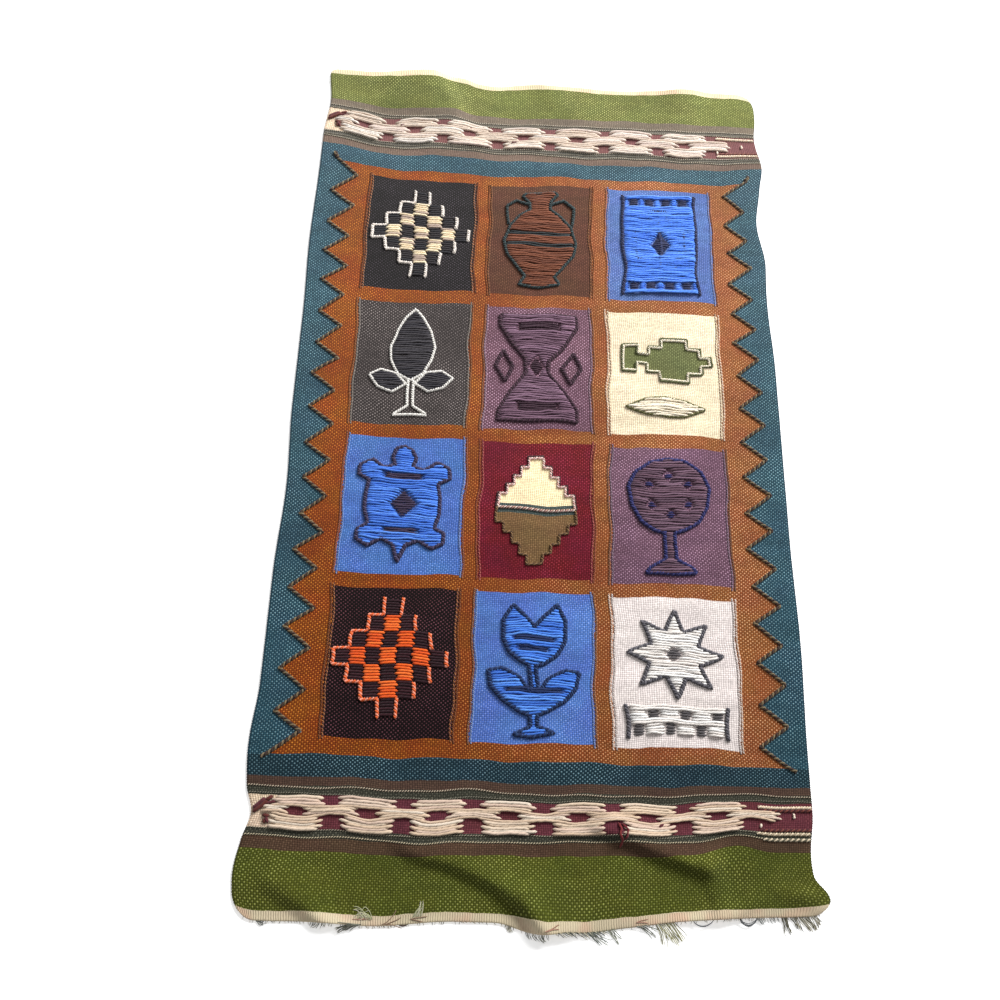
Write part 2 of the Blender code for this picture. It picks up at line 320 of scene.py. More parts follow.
# Flat inlays woven into two of the squares: a stepped fish, and a stepped lozenge in three bands. Columns:
# name, column, row, weft, dots, how much they show, then left, right, bottom and top from the square's
# middle in millimetres
OLIVE = ("5c6138", "8f9468", 0.55)
INLAYS = [
    ("fish, body", 2, 1, *OLIVE, -4, 30, -10, 46),
    ("fish, shoulders", 2, 1, *OLIVE, -20, 46, 1, 35),
    ("fish, length", 2, 1, *OLIVE, -52, 58, 12, 24),
    ("fish, tail", 2, 1, *OLIVE, -52, -34, 0, 36),
    ("lozenge, middle band", 1, 2, "3e4a48", "6d7a76", 0.40, -45, 45, -6, 6),
]
for half in (9, 18, 27, 36, 45):
    start = (45 - half) / 9 * 12 + 6
    INLAYS.append(("lozenge, cream step", 1, 2, "f0dcb0", "fbeccb", 0.30, -half, half, start, start + 12))
    INLAYS.append(("lozenge, brown step", 1, 2, "6e5334", "937a58", 0.50, -half, half, -start - 12, -start))


def square_middle(column, row):
    """The middle of a square, across and along."""
    return sum(SQUARE_COLUMNS[column]) / 2, sum(SQUARE_ROWS[row]) / 2


class Signal:
    """A number on its way through a node tree. Each sum with it adds the Math node that works it out."""

    def __init__(self, socket):
        self.socket = socket

    def to(self, operation, *others):
        return reckon(self.socket.id_data, operation, self, *others)

    def __add__(self, other):
        return self.to("ADD", other)

    def __sub__(self, other):
        return self.to("SUBTRACT", other)

    def __rsub__(self, other):
        return reckon(self.socket.id_data, "SUBTRACT", other, self)

    def __mul__(self, other):
        return self.to("MULTIPLY", other)

    def __truediv__(self, other):
        return self.to("DIVIDE", other)

    def __abs__(self):
        return self.to("ABSOLUTE")

    def __gt__(self, other):
        return self.to("GREATER_THAN", other)

    def __lt__(self, other):
        return self.to("LESS_THAN", other)

    def within(self, low, high):
        """1 where it is between two limits, and 0 elsewhere."""
        return self.to("COMPARE", (low + high) / 2, (high - low) / 2)

    def eased(self, low, high, low_result=0.0, high_result=1.0):
        """A smooth step from one result to the other as it goes from low to high."""
        tree = self.socket.id_data
        step = add_node(tree, "ShaderNodeMapRange", {"interpolation_type": "SMOOTHSTEP"}, Value=self)
        feed(step.inputs["From Min"], low)
        feed(step.inputs["From Max"], high)
        feed(step.inputs["To Min"], low_result)
        feed(step.inputs["To Max"], high_result)
        return Signal(step.outputs["Result"])


def feed(socket, value):
    """Links a node's input to a signal or an output, or gives it a plain value."""
    if isinstance(value, Signal):
        value = value.socket
    if isinstance(value, bpy.types.NodeSocket):
        socket.id_data.links.new(value, socket)
    else:
        socket.default_value = value


def add_node(tree, kind, settings=(), **given):
    """Adds a node with these settings, and feeds the inputs of these names."""
    node = tree.nodes.new(kind)
    for setting, value in dict(settings).items():
        setattr(node, setting, value)
    for name, value in given.items():
        feed(node.inputs[name.replace("_", " ")], value)
    return node


def reckon(tree, operation, *values):
    """Works on numbers or signals with a Math node."""
    step = add_node(tree, "ShaderNodeMath", {"operation": operation})
    for socket, value in zip(step.inputs, values):
        feed(socket, value)
    return Signal(step.outputs[0])


def mix_colour(tree, share, first, second, blend="MIX"):
    """Mixes two colours, each an output or a linear colour."""
    mix = add_node(tree, "ShaderNodeMix", {"data_type": "RGBA", "blend_type": blend})
    for index, value in ((0, share), (6, first), (7, second)):
        feed(mix.inputs[index], value)
    return mix.outputs[2]


def cloudy(tree, place, scale, detail=2.0):
    """Noise of 0 to 1 at a place, about 0.5 in the middle."""
    noise = add_node(tree, "ShaderNodeTexNoise", Vector=place, Scale=scale, Detail=detail)
    return Signal(noise.outputs["Fac"])


def joined_place(tree, x, y, z=0.0):
    """A vector from three numbers or signals."""
    return add_node(tree, "ShaderNodeCombineXYZ", X=x, Y=y, Z=z).outputs[0]


WARP_PITCH = 0.0025
PICK_PITCH = 0.00215


def weft_plan():
    """A node group that says what is woven at a place on the loom: weft and dot colours, and how much the
    dots show. Each colour has a ragged edge, where its weft turns back round one warp end or another."""
    tree = bpy.data.node_groups.new("weft plan", "ShaderNodeTree")
    for name in ("Across", "Along"):
        tree.interface.new_socket(name, in_out="INPUT", socket_type="NodeSocketFloat")
    for name in ("Weft", "Dots"):
        tree.interface.new_socket(name, in_out="OUTPUT", socket_type="NodeSocketColor")
    tree.interface.new_socket("Show", in_out="OUTPUT", socket_type="NodeSocketFloat")
    across, along = (Signal(socket) for socket in tree.nodes.new("NodeGroupInput").outputs[:2])
    result = tree.nodes.new("NodeGroupOutput").inputs

    waver = cloudy(tree, joined_place(tree, across, along), 38.0) - 0.5
    along = waver * 0.0030 + along
    pick = (along / PICK_PITCH).to("FLOOR")
    turn = cloudy(tree, joined_place(tree, pick * 0.37, 0.5), 5.0, 0.0) - 0.5
    across = turn * 0.0022 + across

    weft, dots, show = dye(STRIPES[0][2]), dye(STRIPES[0][3]), STRIPES[0][4]

    def patch(share, new_weft, new_dots, new_show):
        nonlocal weft, dots, show
        weft = mix_colour(tree, share, weft, dye(new_weft))
        dots = mix_colour(tree, share, dots, dye(new_dots))
        show = share * (new_show - show) + show

    for _, start, *woven in STRIPES[1:]:
        patch(along > start, *woven)

    # The zigzag: the field's half width goes from the inner points to the outer ones and back
    teeth = (FIRST_POINT - along) / POINT_PITCH
    tooth = abs(teeth.to("FRACT") * 2.0 + -1.0)
    half_width = tooth * (OUTER_POINT - INNER_POINT) + INNER_POINT
    field = (abs(across) < half_width) * along.within(FIELD_BOTTOM, FIELD_TOP)
    patch(field, *RUST)
    patch(field * across.eased(-0.16, 0.20), *RIGHT_SIDE_RUST)

    # The cream start of each chain band at the left selvedge
    for low, high in ((-0.463, -0.431), (0.4315, 0.470)):
        patch((across < -0.268) * along.within(low, high), "d8bfa4", "ead8c0", 0.7)

    in_column = [across.within(*edges) for edges in SQUARE_COLUMNS]
    in_row = [along.within(*edges) for edges in SQUARE_ROWS]
    for _, column, row, *woven in GROUNDS:
        patch(in_column[column] * in_row[row], *woven)

    for _, column, row, new_weft, new_dots, new_show, left, right, bottom, top in INLAYS:
        middle_across, middle_along = square_middle(column, row)
        inside = across.within(middle_across + left / 1000, middle_across + right / 1000)
        level = along.within(middle_along + bottom / 1000, middle_along + top / 1000)
        patch(inside * level, new_weft, new_dots, new_show)

    for socket, value in zip(result, (weft, dots, show)):
        feed(socket, value)
    return tree


BINDING = 0.5368
GAP_SHADE = 0.44
HUE_DRIFT = 0.006
# Painted light: the tone the colours are painted at the hem, darker, and at the heading, lighter
PAINTED_FALLOFF = (0.78, 1.17)


def yarn_shader(name, roughness, sheen):
    """A matt fibre finish, and its shader."""
    finish = bpy.data.materials.new(name)
    finish.use_nodes = True
    shader = finish.node_tree.nodes["Principled BSDF"]
    shader.inputs["Roughness"].default_value = roughness
    shader.inputs["Specular IOR Level"].default_value = 0.08
    shader.inputs["Sheen Weight"].default_value = sheen
    shader.inputs["Sheen Roughness"].default_value = 0.6
    return finish, finish.node_tree, shader


def bumped(tree, shader, height, distance, strength):
    """Raises the surface by a height of 0 to 1 times a distance."""
    bump = add_node(tree, "ShaderNodeBump", Distance=distance, Strength=strength, Height=height)
    feed(shader.inputs["Normal"], bump.outputs["Normal"])


def on_loom(tree):
    """The place on the loom that the piece's own map gives, and its across and along."""
    place = add_node(tree, "ShaderNodeUVMap", {"uv_map": "loom"}).outputs["UV"]
    apart = add_node(tree, "ShaderNodeSeparateXYZ", Vector=place).outputs
    return place, Signal(apart[0]), Signal(apart[1])


def with_painted_light(tree, along, colour, tone):
    """A dyed colour in its tone, with painted light: darker at the hem, paler and hazed at the heading."""
    tone = tone * along.eased(-0.60, 0.50, *PAINTED_FALLOFF)
    grey = add_node(tree, "ShaderNodeCombineColor", Red=tone, Green=tone, Blue=tone).outputs[0]
    colour = mix_colour(tree, 1.0, colour, grey, "MULTIPLY")
    # Painted haze: a little pale grey mixed in towards the heading end
    return mix_colour(tree, along.eased(-0.40, 0.60, 0.0, 0.03), colour, dye("d8d2c8"))


def plain_weave(plan):
    """Weft picks over and under each warp end, with the dye's uneven take-up from one pick to the next."""
    finish, tree, shader = yarn_shader("plain_weave", 0.92, 0.04)
    place, across, along = on_loom(tree)
    woven = add_node(tree, "ShaderNodeGroup", {"node_tree": plan}, Across=across, Along=along).outputs

    slip = (cloudy(tree, place, 70.0) - 0.5) * 0.0026
    ends = (across + slip) / WARP_PITCH
    picks = (along - slip) / PICK_PITCH
    pick = picks.to("FLOOR")
    rib = (picks.to("FRACT") * math.pi).to("SINE")
    over = ((ends + pick) * math.pi).to("COSINE")

    # The warp shows as a dot where the weft goes under it, here more and there less
    crossing = joined_place(tree, ends.to("ROUND"), pick)
    chance = Signal(add_node(tree, "ShaderNodeTexWhiteNoise", Vector=crossing).outputs["Value"])
    dot = (over * -1.0).eased(0.35, 0.92) * rib.eased(0.25, 0.85)
    mood = cloudy(tree, place, 11.0).eased(0.38, 0.62, 0.62, 1.12) * chance.eased(0.0, 1.0, 0.78, 1.18)
    shown = dot * woven["Show"] * mood

    # Abrash: each run of picks came from a slightly different dye bath
    streak = cloudy(tree, joined_place(tree, across * 0.15, along), 60.0)
    cloud = cloudy(tree, place, 9.0, 3.0)
    shade = (streak + cloud).eased(0.7, 1.3, 0.86, 1.12)
    # Painted shade: darker in the gaps between warp ends and between picks, lighter on each pick's crown
    gap = (1.0 - abs(over)) * GAP_SHADE
    painted_weave_shade = rib * 0.30 + 0.90 - gap * (rib * -0.45 + 0.95)
    tone = shade * (chance * 0.26 + 0.87) * painted_weave_shade

    # The hem and the heading are all fine weft, so there the warp shows as ribs instead, with painted shade
    # between them
    ribs = abs((ends * math.pi).to("SINE"))
    bound = abs(along) > BINDING
    abrash_and_painted_rib_shade = (ribs * 0.10 + 0.92) * shade
    tone = (abrash_and_painted_rib_shade - tone) * bound + tone

    dyed = mix_colour(tree, shown, woven["Weft"], woven["Dots"])
    drift = cloudy(tree, place, 26.0).eased(0.3, 0.7, -HUE_DRIFT, HUE_DRIFT) + 0.5
    drifted = add_node(tree, "ShaderNodeHueSaturation", Color=dyed, Hue=drift).outputs[0]
    stain = bound * cloudy(tree, place, 34.0).eased(0.45, 0.75, 0.0, 0.5)
    dyed = mix_colour(tree, stain, drifted, dye("d9a890"))
    feed(shader.inputs["Base Color"], with_painted_light(tree, along, dyed, tone))

    bead = rib * 0.35 + abs(over) * 0.65
    bead = (ribs - bead) * bound + bead
    fibre = cloudy(tree, place, 1900.0) * 0.25
    bumped(tree, shader, bead + fibre, 0.0006, 0.8)
    return finish


weft_colours = weft_plan()
cloth = weave_cloth(plain_weave(weft_colours))
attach(cloth, "root")
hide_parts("cloth")


# ---- The zigzag cords --------------------------------------------------------------------------------
# Two yarns, one dark brown and one olive, twined round each other and beaten in along each zigzag between
# the rust and the teal. Each cord starts and ends in a short loose tail.

TAIL = 0.007


def yarn(path, thick, hue, other=None, rise=0.0):
    """A strand to be spun: its path, its radius, how far it rises between its ends, and its two dyes."""
    return (path, thick, rise, dye(hue), dye(other or hue))


def bare_strands(name, strands):
    """A mesh of bare edges along the paths, with each strand's facts kept at every point."""
    mesh = bpy.data.meshes.new(name)
    places = [place for strand in strands for place in strand[0]]
    edges = []
    for strand in strands:
        first = edges[-1][1] + 1 if edges else 0
        edges += [(first + step, first + step + 1) for step in range(len(strand[0]) - 1)]
    mesh.from_pydata(places, edges, [])
    facts = (("thick", "FLOAT", "value"), ("rise", "FLOAT", "value"))
    facts += (("dye", "FLOAT_COLOR", "color"), ("other_dye", "FLOAT_COLOR", "color"))
    for column, (fact, kind, field) in enumerate(facts, 1):
        values = [strand[column] for strand in strands for _ in strand[0]]
        mesh.attributes.new(fact, kind, "POINT").data.foreach_set(field, np.ravel(values))
    return mesh


def yarn_tree(name, numbers):
    """A node tree for bare strands, with these numbers to set: what comes in, what goes out, the strand
    and how far along it each point is."""
    tree = bpy.data.node_groups.new(name, "GeometryNodeTree")
    tree.interface.new_socket("Geometry", in_out="INPUT", socket_type="NodeSocketGeometry")
    tree.interface.new_socket("Geometry", in_out="OUTPUT", socket_type="NodeSocketGeometry")
    for number in ("Step", *numbers):
        tree.interface.new_socket(number, in_out="INPUT", socket_type="NodeSocketFloat")
    tree.interface.new_socket("Sides", in_out="INPUT", socket_type="NodeSocketInt")
    tree.interface.new_socket("Yarn", in_out="INPUT", socket_type="NodeSocketMaterial")
    given = tree.nodes.new("NodeGroupInput").outputs
    result = tree.nodes.new("NodeGroupOutput").inputs[0]
    bare = add_node(tree, "GeometryNodeMeshToCurve", Mesh=given["Geometry"]).outputs[0]
    even = {"mode": "LENGTH"}
    strand = add_node(tree, "GeometryNodeResampleCurve", even, Curve=bare, Length=given["Step"]).outputs[0]
    run = Signal(add_node(tree, "GeometryNodeSplineParameter").outputs["Length"])
    return tree, given, result, stored(tree, strand, "run", run), run


def stored(tree, geometry, name, value, kind="FLOAT"):
    """Keeps a value on every point under this name, for a finish to read."""
    kept_as = {"data_type": kind}
    keep = add_node(tree, "GeometryNodeStoreNamedAttribute", kept_as, Geometry=geometry, Name=name)
    feed(keep.inputs["Value"], value)
    return keep.outputs[0]


def kept(tree, name, kind="FLOAT"):
    """What was kept on every point under this name."""
    return add_node(tree, "GeometryNodeInputNamedAttribute", {"data_type": kind}, Name=name).outputs[0]


def reckon_vector(tree, operation, *values):
    """Works on vectors with a Vector Math node."""
    step = add_node(tree, "ShaderNodeVectorMath", {"operation": operation})
    for socket, value in zip([socket for socket in step.inputs if socket.enabled], values):
        feed(socket, value)
    return step.outputs["Vector"]


def swept(tree, given, strand, thickness):
    """A round yarn of this radius along each strand. Which way each side faces is kept for its plies."""
    sides = given["Sides"]
    ring = add_node(tree, "GeometryNodeCurvePrimitiveCircle", Resolution=sides, Radius=1.0).outputs[0]
    facing = add_node(tree, "GeometryNodeInputPosition").outputs[0]
    ring = stored(tree, ring, "rim", facing, "FLOAT_VECTOR")
    tube = add_node(tree, "GeometryNodeCurveToMesh", Curve=strand, Profile_Curve=ring, Fill_Caps=True)
    feed(tube.inputs["Scale"], thickness)
    return tube.outputs[0]


def tied_off(tree, given, result, yarns):
    """Ends a tree: one plain smooth mesh in its yarn."""
    smooth = add_node(tree, "GeometryNodeSetShadeSmooth", Geometry=yarns).outputs[0]
    real = add_node(tree, "GeometryNodeRealizeInstances", Geometry=smooth).outputs[0]
    dressed = add_node(tree, "GeometryNodeSetMaterial", Geometry=real, Material=given["Yarn"])
    feed(result, dressed.outputs[0])
    return tree


def cord_tree():
    """Two plies wound round each strand, the second one in the other dye."""
    tree, given, result, strand, run = yarn_tree("twined cord", ("Lay",))
    heading = add_node(tree, "GeometryNodeInputTangent").outputs[0]
    aside = reckon_vector(tree, "NORMALIZE", reckon_vector(tree, "CROSS_PRODUCT", heading, (0.0, 0.0, 1.0)))
    turn = run * (2 * math.pi) / given["Lay"]
    thick = kept(tree, "thick")
    plies = add_node(tree, "GeometryNodeJoinGeometry")
    for start in (0.0, math.pi):
        angle = turn + start
        swing = reckon_vector(tree, "SCALE", aside, angle.to("COSINE") * thick)
        lift = joined_place(tree, 0.0, 0.0, angle.to("SINE") * thick)
        offset = reckon_vector(tree, "ADD", swing, lift)
        wound = add_node(tree, "GeometryNodeSetPosition", Geometry=strand, Offset=offset).outputs[0]
        if start:
            wound = stored(tree, wound, "dye", kept(tree, "other_dye", "FLOAT_COLOR"), "FLOAT_COLOR")
        feed(plies.inputs[0], swept(tree, given, wound, thick))
    return tied_off(tree, given, result, plies.outputs[0])


def spun_yarn(name, lay, groove_shade=0.66, sheen=0.08):
    """Two-ply yarn in whatever dye each strand has: grooves wind round it where its plies meet, in painted
    shade.
    """
    finish, tree, shader = yarn_shader(name, 0.9, sheen)
    _, _, along = on_loom(tree)
    dyed = add_node(tree, "ShaderNodeAttribute", {"attribute_name": "dye"}).outputs["Color"]
    run = Signal(add_node(tree, "ShaderNodeAttribute", {"attribute_name": "run"}).outputs["Fac"])
    rim = add_node(tree, "ShaderNodeAttribute", {"attribute_name": "rim"}).outputs["Vector"]
    side = add_node(tree, "ShaderNodeSeparateXYZ", Vector=rim).outputs
    turn = run * (2 * math.pi / lay)
    groove = abs(turn.to("SINE") * side[0] + turn.to("COSINE") * side[1])
    place = add_node(tree, "ShaderNodeTexCoord").outputs["Object"]
    patchy = cloudy(tree, place, 260.0) * 0.36 + 0.82
    # Painted shade: the colour darkens into the grooves between the plies
    tone = groove.eased(0.0, 0.6, groove_shade, 1.0) * patchy
    feed(shader.inputs["Base Color"], with_painted_light(tree, along, dyed, tone))
    fibres = cloudy(tree, place, 2200.0) * 0.3
    bumped(tree, shader, groove.eased(0.0, 0.8) + fibres, 0.0004, 0.8)
    return finish


def work(name, strands, tree, finish, **numbers):
    """Works strands through a tree into one plain mesh, keeps its two maps, and lays it out."""
    piece = bpy.data.objects.new(name, bare_strands(name, strands))
    bpy.context.scene.collection.objects.link(piece)
    yarns = piece.modifiers.new("yarns", "NODES")
    yarns.node_group = tree
    numbers["Yarn"] = finish
    for socket in tree.interface.items_tree:
        if socket.name in numbers:
            yarns[socket.identifier] = numbers[socket.name]
    spread = bpy.context.evaluated_depsgraph_get()
    worked = bpy.data.meshes.new_from_object(
        piece.evaluated_get(spread), preserve_all_data_layers=True, depsgraph=spread
    )
    piece.modifiers.clear()
    piece.data = worked
    loomed = np.empty(len(worked.vertices) * 3)
    worked.vertices.foreach_get("co", loomed)
    loomed = loomed.reshape(-1, 3)
    write_uv(worked, "loom", loomed[:, :2])
    low, high = loomed.min(0), loomed.max(0)
    write_uv(worked, "OFBake", ((loomed - low) / (high - low))[:, :2])
    worked.vertices.foreach_set("co", lay_out(loomed).ravel())
    worked.update()
    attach(piece, "root")
    return piece


twined = cord_tree()
cord_finish = spun_yarn("twined_cord_yarn", 0.0045)
chance = random.Random(3)
zigzags = []
for side in (-1, 1):
    path = []
    for turn in (200, 260, 320, 380, 440):
        across = side * (OUTER_POINT + 0.0006 + 0.0024 * math.cos(math.radians(turn)))
        along = FIRST_POINT + 0.0036 + 0.0024 * math.sin(math.radians(turn))
        path.append((across, along, THICKNESS + 0.0006 + turn * 0.000003))
    for corner in range(2 * POINTS - 1):
        reach = INNER_POINT if corner % 2 else OUTER_POINT
        across = side * (reach + 0.0012 + chance.uniform(-0.0012, 0.0012))
        along = FIRST_POINT - corner * POINT_PITCH / 2 + chance.uniform(-0.0012, 0.0012)
        path.append((across, along, THICKNESS + 0.0003))
    path.append((side * (OUTER_POINT + TAIL), path[-1][1] - 0.004, THICKNESS + 0.0006))
    zigzags.append(yarn(path, 0.00124, "41302a", "7c6c52"))
zigzag_cords = work("zigzag_cords", zigzags, twined, cord_finish, Step=0.00125, Lay=0.0075, Sides=5)


# ---- The cords down the sides of the squares ---------------------------------------------------------
# Where a square meets the rust at its sides, two thin twined cords about 4 mm apart cover the slits that
# tapestry weave leaves. Tops and bottoms have no slit and no cord.

SIDE_CORD_APART = 0.0017

# In the order of the squares' grounds. Columns: the outer cord's two yarns, then the inner cord's
SIDE_CORDS = (
    ("4e2d20", "7c4a30", "b07a56", "4a3432"),
    ("74442a", "95582f", "94643f", "643e2c"),
    ("8e5a42", "a8705a", "9098be", "7480ae"),
    ("784a30", "9c6640", "948b82", "6c645e"),
    ("784e38", "9a6548", "a88c98", "745a68"),
    ("f2dfcb", "c89c7e", "a88468", "e4d6bc"),
    ("84553c", "a05f52", "8298c4", "6274a6"),
    ("803c2e", "9a583e", "b4685c", "843038"),
    ("70503c", "926450", "9c8092", "6c5a64"),
    ("643826", "8c5430", "b07448", "5a3632"),
    ("7c5442", "9c745e", "8ea0c8", "667cb4"),
    ("f4e2d4", "d2ae98", "beaca6", "e6dcd6"),
)

chance = random.Random(11)
side_strands = []
for (_, column, row, *_), four_hues in zip(GROUNDS, SIDE_CORDS):
    low, high = SQUARE_ROWS[row]
    for side, edge in zip((-1, 1), SQUARE_COLUMNS[column]):
        for outward, hues in ((1, four_hues[:2]), (-1, four_hues[2:])):
            across = edge + side * outward * SIDE_CORD_APART
            path = []
            for step in range(9):
                along = low - 0.003 + (high - low + 0.006) * step / 8 + chance.uniform(-0.001, 0.001)
                path.append((across + chance.uniform(-0.0006, 0.0006), along, THICKNESS))
            side_strands.append(yarn(path, 0.00068, *hues))
side_cords = work("square_side_cords", side_strands, twined, cord_finish, Step=0.0012, Lay=0.0044, Sides=4)


# ---- The pinstripes ----------------------------------------------------------------------------------
# Single rows of pale and dark yarn twined across the whole width, either side of each chain band. They
# waver where the chain's slack yarns push them.

# Columns: where along, its two yarns, radius
PINSTRIPES = (
    (-0.4706, "d3c3a2", "3a3a30", 0.00056),
    (-0.4642, "a9a08a", "34342c", 0.00050),
    (-0.4296, "8f8a78", "34342c", 0.00046),
    (-0.4226, "d2c0a6", "332a26", 0.00056),
    (0.4228, "c8bba4", "57534a", 0.00060),
    (0.4266, "8f8877", "5f5a50", 0.00045),
    (0.4305, "cfc4b0", "565249", 0.00060),
    (0.4708, "bdb29d", "565249", 0.00055),
    (0.4762, "cfc4b0", "5d5850", 0.00060),
)

stripes = []
for order, (along, pale, dark, thick) in enumerate(PINSTRIPES):
    path = []
    for step in range(61):
        across = (step / 60 - 0.5) * (WIDTH - 0.002)
        waver = 0.0009 * math.sin(across * 23 + order) + 0.0005 * math.sin(across * 61 + 2 * order)
        path.append((across, along + waver, THICKNESS + 0.0001))
    stripes.append(yarn(path, thick, pale, dark))
pinstripes = work("pinstripes", stripes, twined, cord_finish, Step=0.0007, Lay=0.0028, Sides=4)


# ---- The chain bands ---------------------------------------------------------------------------------
# Some thirteen thick cream yarns float over a maroon band near each end. Three rows of them dive under it
# by turns, which leaves maroon blocks. Between the rows one yarn runs on and winds its way past them.

CHAIN_PITCH = 0.0743
CHAIN_LINKS = 7
OUTER_ROW_FIRST = -0.2109
MIDDLE_ROW_FIRST = -0.2481
CREAMS = ("dec9b2", "dac3aa", "ddc6b2", "d4baa0", "e3d3c0", "d7bdaa")
# Paler, greyer creams for the upper band
UPPER_CREAMS = ("d6c9bc", "d2c3b4", "d5c6bb", "cbb9a9", "dcd3ca", "cfbdb2")
MAROON = "5c2b31"

# The rows of yarns in each band. Columns: where the row's first block is, where its floats start and end,
# half width of a block, how many yarns, their radius, the lowest and highest yarn beside a block, and
# between two
LOWER_CHAIN = (
    (OUTER_ROW_FIRST, -0.2770, None, 0.0112, 5, 0.00166, -0.4612, -0.4506, -0.4624, -0.4538),
    (MIDDLE_ROW_FIRST, -0.2880, 0.2640, 0.0103, 3, 0.00142, -0.4484, -0.4424, -0.4461, -0.4431),
    (OUTER_ROW_FIRST, -0.2740, None, 0.0094, 3, 0.00166, -0.4386, -0.4334, -0.4382, -0.4325),
)
UPPER_CHAIN = (
    (OUTER_ROW_FIRST, -0.2770, None, 0.0092, 4, 0.00178, 0.4336, 0.4430, 0.4330, 0.4412),
    (MIDDLE_ROW_FIRST, -0.2880, 0.2620, 0.0090, 3, 0.00178, 0.4478, 0.4542, 0.4490, 0.4538),
    (OUTER_ROW_FIRST, -0.2740, None, 0.0080, 3, 0.00178, 0.4610, 0.4660, 0.4606, 0.4688),
)

# The yarns that run on between the rows. Columns: where along beside the outer blocks, and the middle ones
LOWER_WINDING = ((-0.4474, -0.4517), (-0.4416, -0.4401))
UPPER_WINDING = ((0.4460, 0.4440), (0.4570, 0.4582))


def float_tree():
    """A slack yarn over each strand: it dives into the cloth at both ends, rises between and strays."""
    tree, given, result, strand, run = yarn_tree("float", ("Dive", "Stray", "Scatter"))
    whole = Signal(add_node(tree, "GeometryNodeSplineLength").outputs["Length"])
    from_end = run.to("MINIMUM", whole - run)
    up = from_end.eased(0.0, given["Dive"])
    place = add_node(tree, "GeometryNodeInputPosition").outputs[0]
    spot = reckon_vector(tree, "MULTIPLY", place, joined_place(tree, 45.0, given["Scatter"]))
    noise = add_node(tree, "ShaderNodeTexNoise", Vector=spot, Scale=1.0, Detail=1.0).outputs["Color"]
    straying = reckon_vector(tree, "SUBTRACT", noise, (0.5, 0.5, 0.5))
    straying = reckon_vector(tree, "SCALE", straying, up * given["Stray"])
    lift = joined_place(tree, 0.0, 0.0, up * kept(tree, "rise"))
    offset = reckon_vector(tree, "ADD", straying, lift)
    slack = add_node(tree, "GeometryNodeSetPosition", Geometry=strand, Offset=offset).outputs[0]
    thickness = from_end.eased(-0.0012, 0.0024) * kept(tree, "thick")
    return tied_off(tree, given, result, swept(tree, given, slack, thickness))


def chain_floats(rows, winding, creams, chance):
    """The floats of one band, bulging from block to block, and the yarns that wind between them."""
    sunk = THICKNESS - 0.0003
    strands = []
    for first, start, end, half, count, thick, low, high, low_between, high_between in rows:
        blocks = [first + CHAIN_PITCH * link for link in range(CHAIN_LINKS)]
        gaps = [(start, blocks[0] - half)]
        gaps += [(left + half, right - half) for left, right in zip(blocks, blocks[1:])]
        if end:
            gaps.append((blocks[-1] + half, end))
        for gap_start, gap_end in gaps:
            lean = [chance.choice((-1, 1)), chance.choice((-1, 1))]
            for level in range(count):
                share = level / (count - 1)
                beside = low + (high - low) * share
                between = low_between + (high_between - low_between) * share
                jag = 0.0025 if level % 2 else -0.0025
                left = gap_start + lean[0] * jag + chance.uniform(-0.0012, 0.0012)
                right = gap_end + lean[1] * jag + chance.uniform(-0.0012, 0.0012)
                path = []
                for step in range(9):
                    bulge = math.sin(math.pi * step / 8) ** 0.8 if 0 < step < 8 else 0
                    across = left + (right - left) * step / 8
                    path.append((across, beside + (between - beside) * bulge, sunk))
                rise = 0.0016 + chance.uniform(0, 0.0008)
                radius = thick * chance.uniform(0.90, 1.12)
                strands.append(yarn(path, radius, chance.choice(creams), None, rise))
    for beside_outer, beside_middle in winding:
        path = []
        for step in range(113):
            across = -0.2800 + 0.5400 * step / 112
            swing = 0.5 + 0.5 * math.cos(2 * math.pi * (across - OUTER_ROW_FIRST) / CHAIN_PITCH)
            along = beside_middle + (beside_outer - beside_middle) * swing + chance.uniform(-0.0003, 0.0003)
            path.append((across, along, sunk))
        strands.append(yarn(path, rows[1][5], creams[3], None, 0.0021))
    return strands


# Short strokes at each band's ends, from the band's middle line. Columns: start across, start along,
# end across, end along, radius, hue. First the maroon bird's foot at the left, then knots at the right
STROKES = (
    (-0.2985, -0.0020, -0.2800, 0.0105, 0.0020, "5e2c26"),
    (-0.2985, 0.0015, -0.2830, 0.0125, 0.0018, MAROON),
    (-0.2830, 0.0100, -0.2735, 0.0150, 0.0018, "5e2c26"),
    (-0.2850, 0.0070, -0.2700, 0.0100, 0.0014, MAROON),
    (-0.2880, -0.0045, -0.2790, -0.0050, 0.0017, "5e2c26"),
    (-0.2840, -0.0050, -0.2790, -0.0120, 0.0018, MAROON),
    (-0.2860, -0.0080, -0.2820, -0.0125, 0.0015, "5e2c26"),
    (0.2790, -0.0012, 0.2800, 0.0022, 0.0019, "f2e0cc"),
    (0.2798, 0.0012, 0.2788, 0.0050, 0.0015, "f2e0cc"),
    (0.2435, -0.0120, 0.2440, -0.0070, 0.0014, "f2e0cc"),
)
BAND_MIDDLES = (-0.4470, 0.4508)

# Maroon picks that slipped up between the floats. Columns: start across, start along, end across, end along
SLIPS = (
    (0.1310, -0.4545, 0.1385, -0.4505),
    (-0.1985, 0.4560, -0.1890, 0.4600),
    (-0.0440, 0.4405, -0.0330, 0.4420),
    (-0.1000, 0.4600, -0.0960, 0.4620),
)

# Twined rows that edge the maroon at the right end of each band. Columns: where along, start across, yarns
END_ROWS = (
    (-0.4358, 0.2410, "f2dfc4", "e6cdb0"),
    (-0.4392, 0.2430, "4a2024", "7a4238"),
    (-0.4612, 0.2440, "4a2024", "7a4238"),
    (-0.4652, 0.2400, "ecdabc", "b7a78c"),
    (-0.4712, 0.2470, "e0cfb2", "6f6a58"),
    (0.4352, 0.2430, "f2e0c8", "e6d0b8"),
    (0.4655, 0.2430, "f2e0c8", "e6d0b8"),
    (0.4395, 0.2460, "6e3f3f", "8a5a50"),
)

